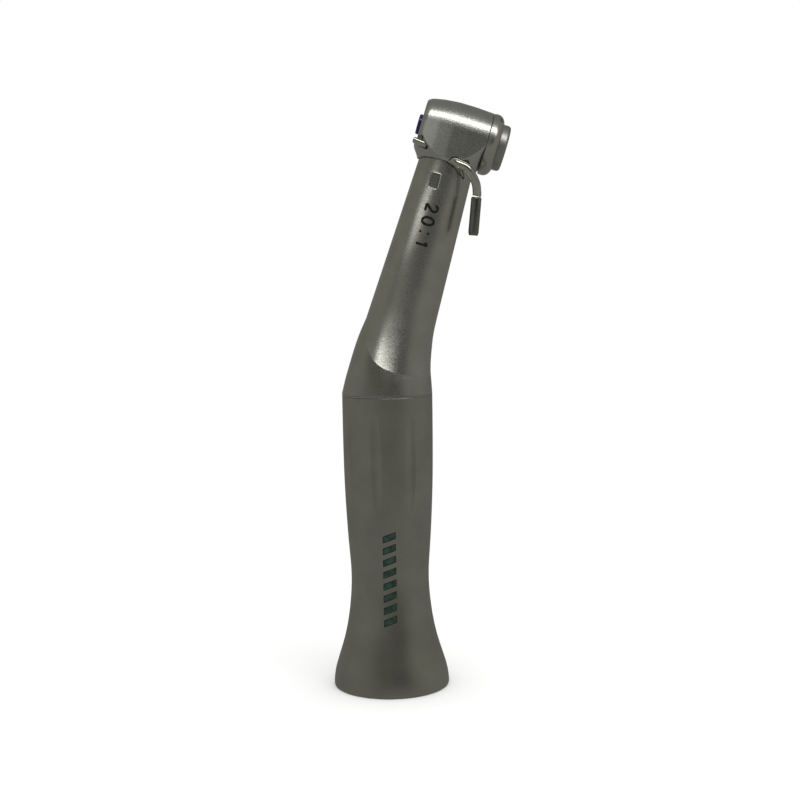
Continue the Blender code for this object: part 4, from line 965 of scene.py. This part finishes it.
def patch(corners, surface, lift, n=14, m=10):
    """A thin plate over four (t, s) corners, its edge rounded off in plan."""
    c = np.asarray(corners, float)
    ring, k = [], 4
    for i in range(4):
        p, before, after = c[i], c[i - 1], c[(i + 1) % 4]
        pa, pb = p + (before - p) / np.linalg.norm(before - p) * 0.16, p + (after - p) / np.linalg.norm(after - p) * 0.16
        ring += [tuple(pa * (1 - w) ** 2 + p * 2 * w * (1 - w) + pb * w * w) for w in np.linspace(0, 1, 5)]
        nxt = c[(i + 1) % 4]
        pc = nxt + (p - nxt) / np.linalg.norm(p - nxt) * 0.16
        ring += [tuple(pb + (pc - pb) * w) for w in np.linspace(0, 1, m)[1:-1]]
    ring = np.array(ring)
    centre = ring.mean(0)
    rows_ = []
    for share, up in ((1, -0.05), (1, lift * 0.6), (0.985, lift), (0.8, lift), (0.55, lift), (0.3, lift), (0.08, lift)):
        q = centre + (ring - centre) * share
        rows_.append(surface(q[:, 0], q[:, 1], up))
    grid = np.array(rows_)
    count = len(ring)
    faces = [tuple(f) for f in grid_faces(len(grid), count)]
    faces += [tuple(range(count))[::-1], tuple((len(grid) - 1) * count + q for q in range(count))]
    return grid.reshape(-1, 3), faces


edges, fills = [], []
for i in range(8):
    t0 = 26.9 - i * 2.05
    for box, out, lift in ((edges, 0.10, 0.012), (fills, 0.0, 0.022)):
        wide, tall, lean = 0.50 + out, 1.02 + out, 0.42
        box.append(patch([(t0 - wide - lean, -tall), (t0 + wide - lean, -tall), (t0 + wide + lean, tall), (t0 - wide + lean, tall)], on_handle, lift))
gather("grip_mark_edges", edges, "handle", BLACK)
gather("grip_marks", fills, "handle", GREEN)

# ------------------------------------------------------------------ the CAD pieces that stay, in their finishes
KEPT = {
    BODY_STEEL: ("gearbox_sleeve", "neck_shaft_spacer", "spring_seat"),
    SHAFT_STEEL: ("input_shaft", "drive_dog", "main_shaft", "planet_pin_1", "planet_pin_2", "planet_pin_3", "neck_shaft", "chuck_pusher"),
    GEAR_STEEL: ("ring_gear", "planet_gear_1", "planet_gear_2", "planet_gear_3", "planet_carrier", "elbow_pinion", "elbow_ring_gear", "head_pinion", "spindle_gear"),
    SPRING_STEEL: ("coupling_snap_ring", "input_circlip", "chuck_collet"),
    BRONZE: ("rear_bush", "front_bush", "neck_front_bush"),
}
for part_name in NODES:
    if part_name.endswith(("_outer_ring", "_inner_ring")) and "bearing" in part_name:
        KEPT.setdefault(RACE_STEEL, ())
        KEPT[RACE_STEEL] += (part_name,)
    if part_name.endswith("_ball_cage"):
        KEPT.setdefault(CAGE, ())
        KEPT[CAGE] += (part_name,)
for mat, names in KEPT.items():
    for part_name in names:
        obj = NODES[part_name]
        if not obj.material_slots:
            obj.data.materials.append(mat)
        for holder in obj.material_slots:
            holder.material = mat

# ------------------------------------------------------------------ studio
def area(name, at, towards, size, power, colour=(1, 1, 1), shape="RECTANGLE", size_y=None, along=(1, 0, 0), only=()):
    light = bpy.data.lights.new(name, "AREA")
    light.shape = shape
    light.size = size
    if shape in ("RECTANGLE", "ELLIPSE"):
        light.size_y = size_y or size
    light.energy = power
    light.color = colour
    obj = bpy.data.objects.new(name, light)
    bpy.context.scene.collection.objects.link(obj)
    at, towards = Vector(at), Vector(towards)
    back = (at - towards).normalized()
    upright = back.cross(Vector(along)).normalized()
    side = upright.cross(back)
    obj.matrix_world = Matrix.Translation(at) @ Matrix((side, upright, back)).transposed().to_4x4()
    if only:
        lit = bpy.data.collections.new(name + "_lit")
        for thing in only:
            lit.objects.link(thing)
        obj.light_linking.receiver_collection = lit
    return obj


# Pale round floor.
n_ring, n_seg = 14, 128
fv, ff = [(0, 0, -0.0001)], []
for i in range(1, n_ring + 1):
    for k in range(n_seg):
        a = 2 * math.pi * k / n_seg
        r = 0.085 * i / n_ring
        fv.append((r * math.cos(a), r * math.sin(a), -0.0001))
for k in range(n_seg):
    ff.append((0, 1 + k, 1 + (k + 1) % n_seg))
for i in range(n_ring - 1):
    for k in range(n_seg):
        j = (k + 1) % n_seg
        p, q = 1 + i * n_seg, 1 + (i + 1) * n_seg
        ff.append((p + k, q + k, q + j, p + j))
floor_mesh = bpy.data.meshes.new("floor")
floor_mesh.from_pydata(fv, [], ff)
floor = bpy.data.objects.new("floor", floor_mesh)
bpy.context.scene.collection.objects.link(floor)
paper, tree, shader = new_material("floor_paper")
coord = node(tree, "ShaderNodeTexCoord").outputs["Object"]
fibre = noise(tree, coord, 0.8, 4.0)
tint = node(tree, "ShaderNodeValToRGB")
tint.color_ramp.elements[0].color, tint.color_ramp.elements[1].color = (0.90, 0.90, 0.895, 1), (0.93, 0.93, 0.93, 1)
tree.links.new(fibre, tint.inputs["Fac"])
tree.links.new(tint.outputs["Color"], shader.inputs["Base Color"])
shader.inputs["Roughness"].default_value = 0.9
shader.inputs["Specular IOR Level"].default_value = 0.1
floor_mesh.materials.append(paper)

floor.visible_glossy = False

# White for the camera and for diffuse light; in reflections a grey studio whose tone depends on where one looks.
world = bpy.data.worlds.new("studio")
bpy.context.scene.world = world
world.use_nodes = True
sky = world.node_tree
sky.nodes.clear()


def sky_node(kind, *inputs, **values):
    made = sky.nodes.new(kind)
    for key, value in values.items():
        setattr(made, key, value)
    for i, value in enumerate(inputs):
        if value is None:
            continue
        if isinstance(value, bpy.types.NodeSocket):
            sky.links.new(value, made.inputs[i])
        else:
            made.inputs[i].default_value = value
    return made


def sky_math(operation, *inputs):
    return sky_node("ShaderNodeMath", *inputs, operation=operation).outputs["Value"]


def sky_ramp(value, stops):
    """Grey tones against a turn in degrees, 0 towards the camera and + to its right."""
    made = sky_node("ShaderNodeValToRGB", value)
    made.color_ramp.interpolation = "EASE"
    elements = made.color_ramp.elements
    for i, (degrees, tone) in enumerate(stops):
        e = elements[i] if i < 2 else elements.new(0.999)
        e.position = degrees / 360 + 0.5
        e.color = (tone, tone, tone * 0.93, 1)
    return made.outputs["Color"]


look = sky_node("ShaderNodeSeparateXYZ", sky_node("ShaderNodeTexCoord").outputs["Generated"])
turn = sky_math("ADD", sky_math("DIVIDE", sky_math("ARCTAN2", look.outputs["X"], sky_math("MULTIPLY", look.outputs["Y"], -1.0)), 2 * math.pi), 0.5)
level = sky_ramp(turn, [(-180, 0.30), (-164, 0.29), (-148, 0.20), (-120, 0.21), (-62, 0.23), (-40, 0.22), (-18, 0.13), (0, 0.088), (12, 0.052), (34, 0.055), (50, 0.20), (75, 0.22), (92, 0.235), (110, 0.21), (136, 0.19), (151, 0.13), (167, 0.22), (180, 0.30)])
under = sky_ramp(turn, [(-180, 0.20), (-70, 0.215), (-45, 0.21), (-12, 0.215), (15, 0.225), (45, 0.225), (80, 0.22), (180, 0.20)])
lift = sky_node("ShaderNodeMapRange", look.outputs["Z"], -0.16, 0.02)
both = sky_node("ShaderNodeMix", data_type="RGBA")
sky.links.new(lift.outputs["Result"], both.inputs["Factor"])
sky.links.new(under, both.inputs[6])
sky.links.new(level, both.inputs[7])
high = sky_node("ShaderNodeMapRange", look.outputs["Z"], 0.42, 0.75)
grey = sky_node("ShaderNodeMix", data_type="RGBA")
sky.links.new(high.outputs["Result"], grey.inputs["Factor"])
sky.links.new(both.outputs[2], grey.inputs[6])
grey.inputs[7].default_value = (0.20, 0.20, 0.19, 1)
flag = sky_ramp(turn, [(-180, 1.0), (-82, 1.0), (-58, 0.42), (-24, 0.42), (-8, 1.0), (180, 1.0)])
above = sky_math("MINIMUM", sky_node("ShaderNodeMapRange", look.outputs["Z"], 0.24, 0.38).outputs["Result"], sky_node("ShaderNodeMapRange", look.outputs["Z"], 0.78, 0.62).outputs["Result"])
shaded = sky_node("ShaderNodeMix", data_type="RGBA", blend_type="MULTIPLY")
sky.links.new(above, shaded.inputs["Factor"])
sky.links.new(grey.outputs[2], shaded.inputs[6])
sky.links.new(flag, shaded.inputs[7])
rays = sky_node("ShaderNodeLightPath")
seen = sky_math("MAXIMUM", rays.outputs["Is Camera Ray"], rays.outputs["Is Diffuse Ray"])
pale = sky_math("ADD", sky_math("MULTIPLY", rays.outputs["Is Diffuse Ray"], 0.14), 1.0)
dim = sky_node("ShaderNodeBackground", shaded.outputs[2], 1.0)
white = sky_node("ShaderNodeBackground", (1, 1, 1, 1), pale)
mix = sky_node("ShaderNodeMixShader", seen, dim.outputs["Background"], white.outputs["Background"])
sky_node("ShaderNodeOutputWorld", mix.outputs["Shader"])


def toward(point, turn_deg, rise_deg, far):
    """A place seen from point at that turn and rise, in metres."""
    a, e = math.radians(turn_deg), math.radians(rise_deg)
    return Vector(point) + Vector((math.sin(a) * math.cos(e), -math.cos(a) * math.cos(e), math.sin(e))) * far


head_at = Vector((0.00634, 0, 0.0942))
area("head_strip", head_at + Vector((0.22, -0.61, 0.755)).normalized() * 0.13, head_at, 0.19, 0.080, size_y=0.038, along=(0.91, 0, -0.41))
elbow_at = Vector((-0.00125, -0.0060, 0.0605))
area("elbow_card", toward(elbow_at, -31, -6, 0.021), elbow_at, 0.025, 0.00105, size_y=0.005, along=(1, 1, 0), only=[neck])
cheek_at = Vector((0.0060, -0.0050, 0.0940))
area("head_card", toward(cheek_at, -32, 16, 0.060), cheek_at, 0.046, 0.0017, size_y=0.044, only=[head])
window_at = Vector((0.0019, -0.0047, 0.0848))
area("neck_card", toward(window_at, -42, 12, 0.030), window_at, 0.017, 0.00050, size_y=0.009, only=[neck])

scene = bpy.context.scene
scene.view_settings.view_transform = "Standard"
camera = bpy.data.cameras.new("camera")
camera.lens, camera.sensor_width, camera.clip_start, camera.clip_end = 60.795, 36, 0.01, 5
camera.dof.use_dof = False
cam = bpy.data.objects.new("camera", camera)
scene.collection.objects.link(cam)
cam.matrix_world = Matrix.Translation((-0.003618, -0.231, 0.0708)) @ Matrix.Rotation(math.radians(84.72), 4, "X") @ Matrix.Rotation(math.radians(-0.9), 4, "Z")
scene.camera = cam
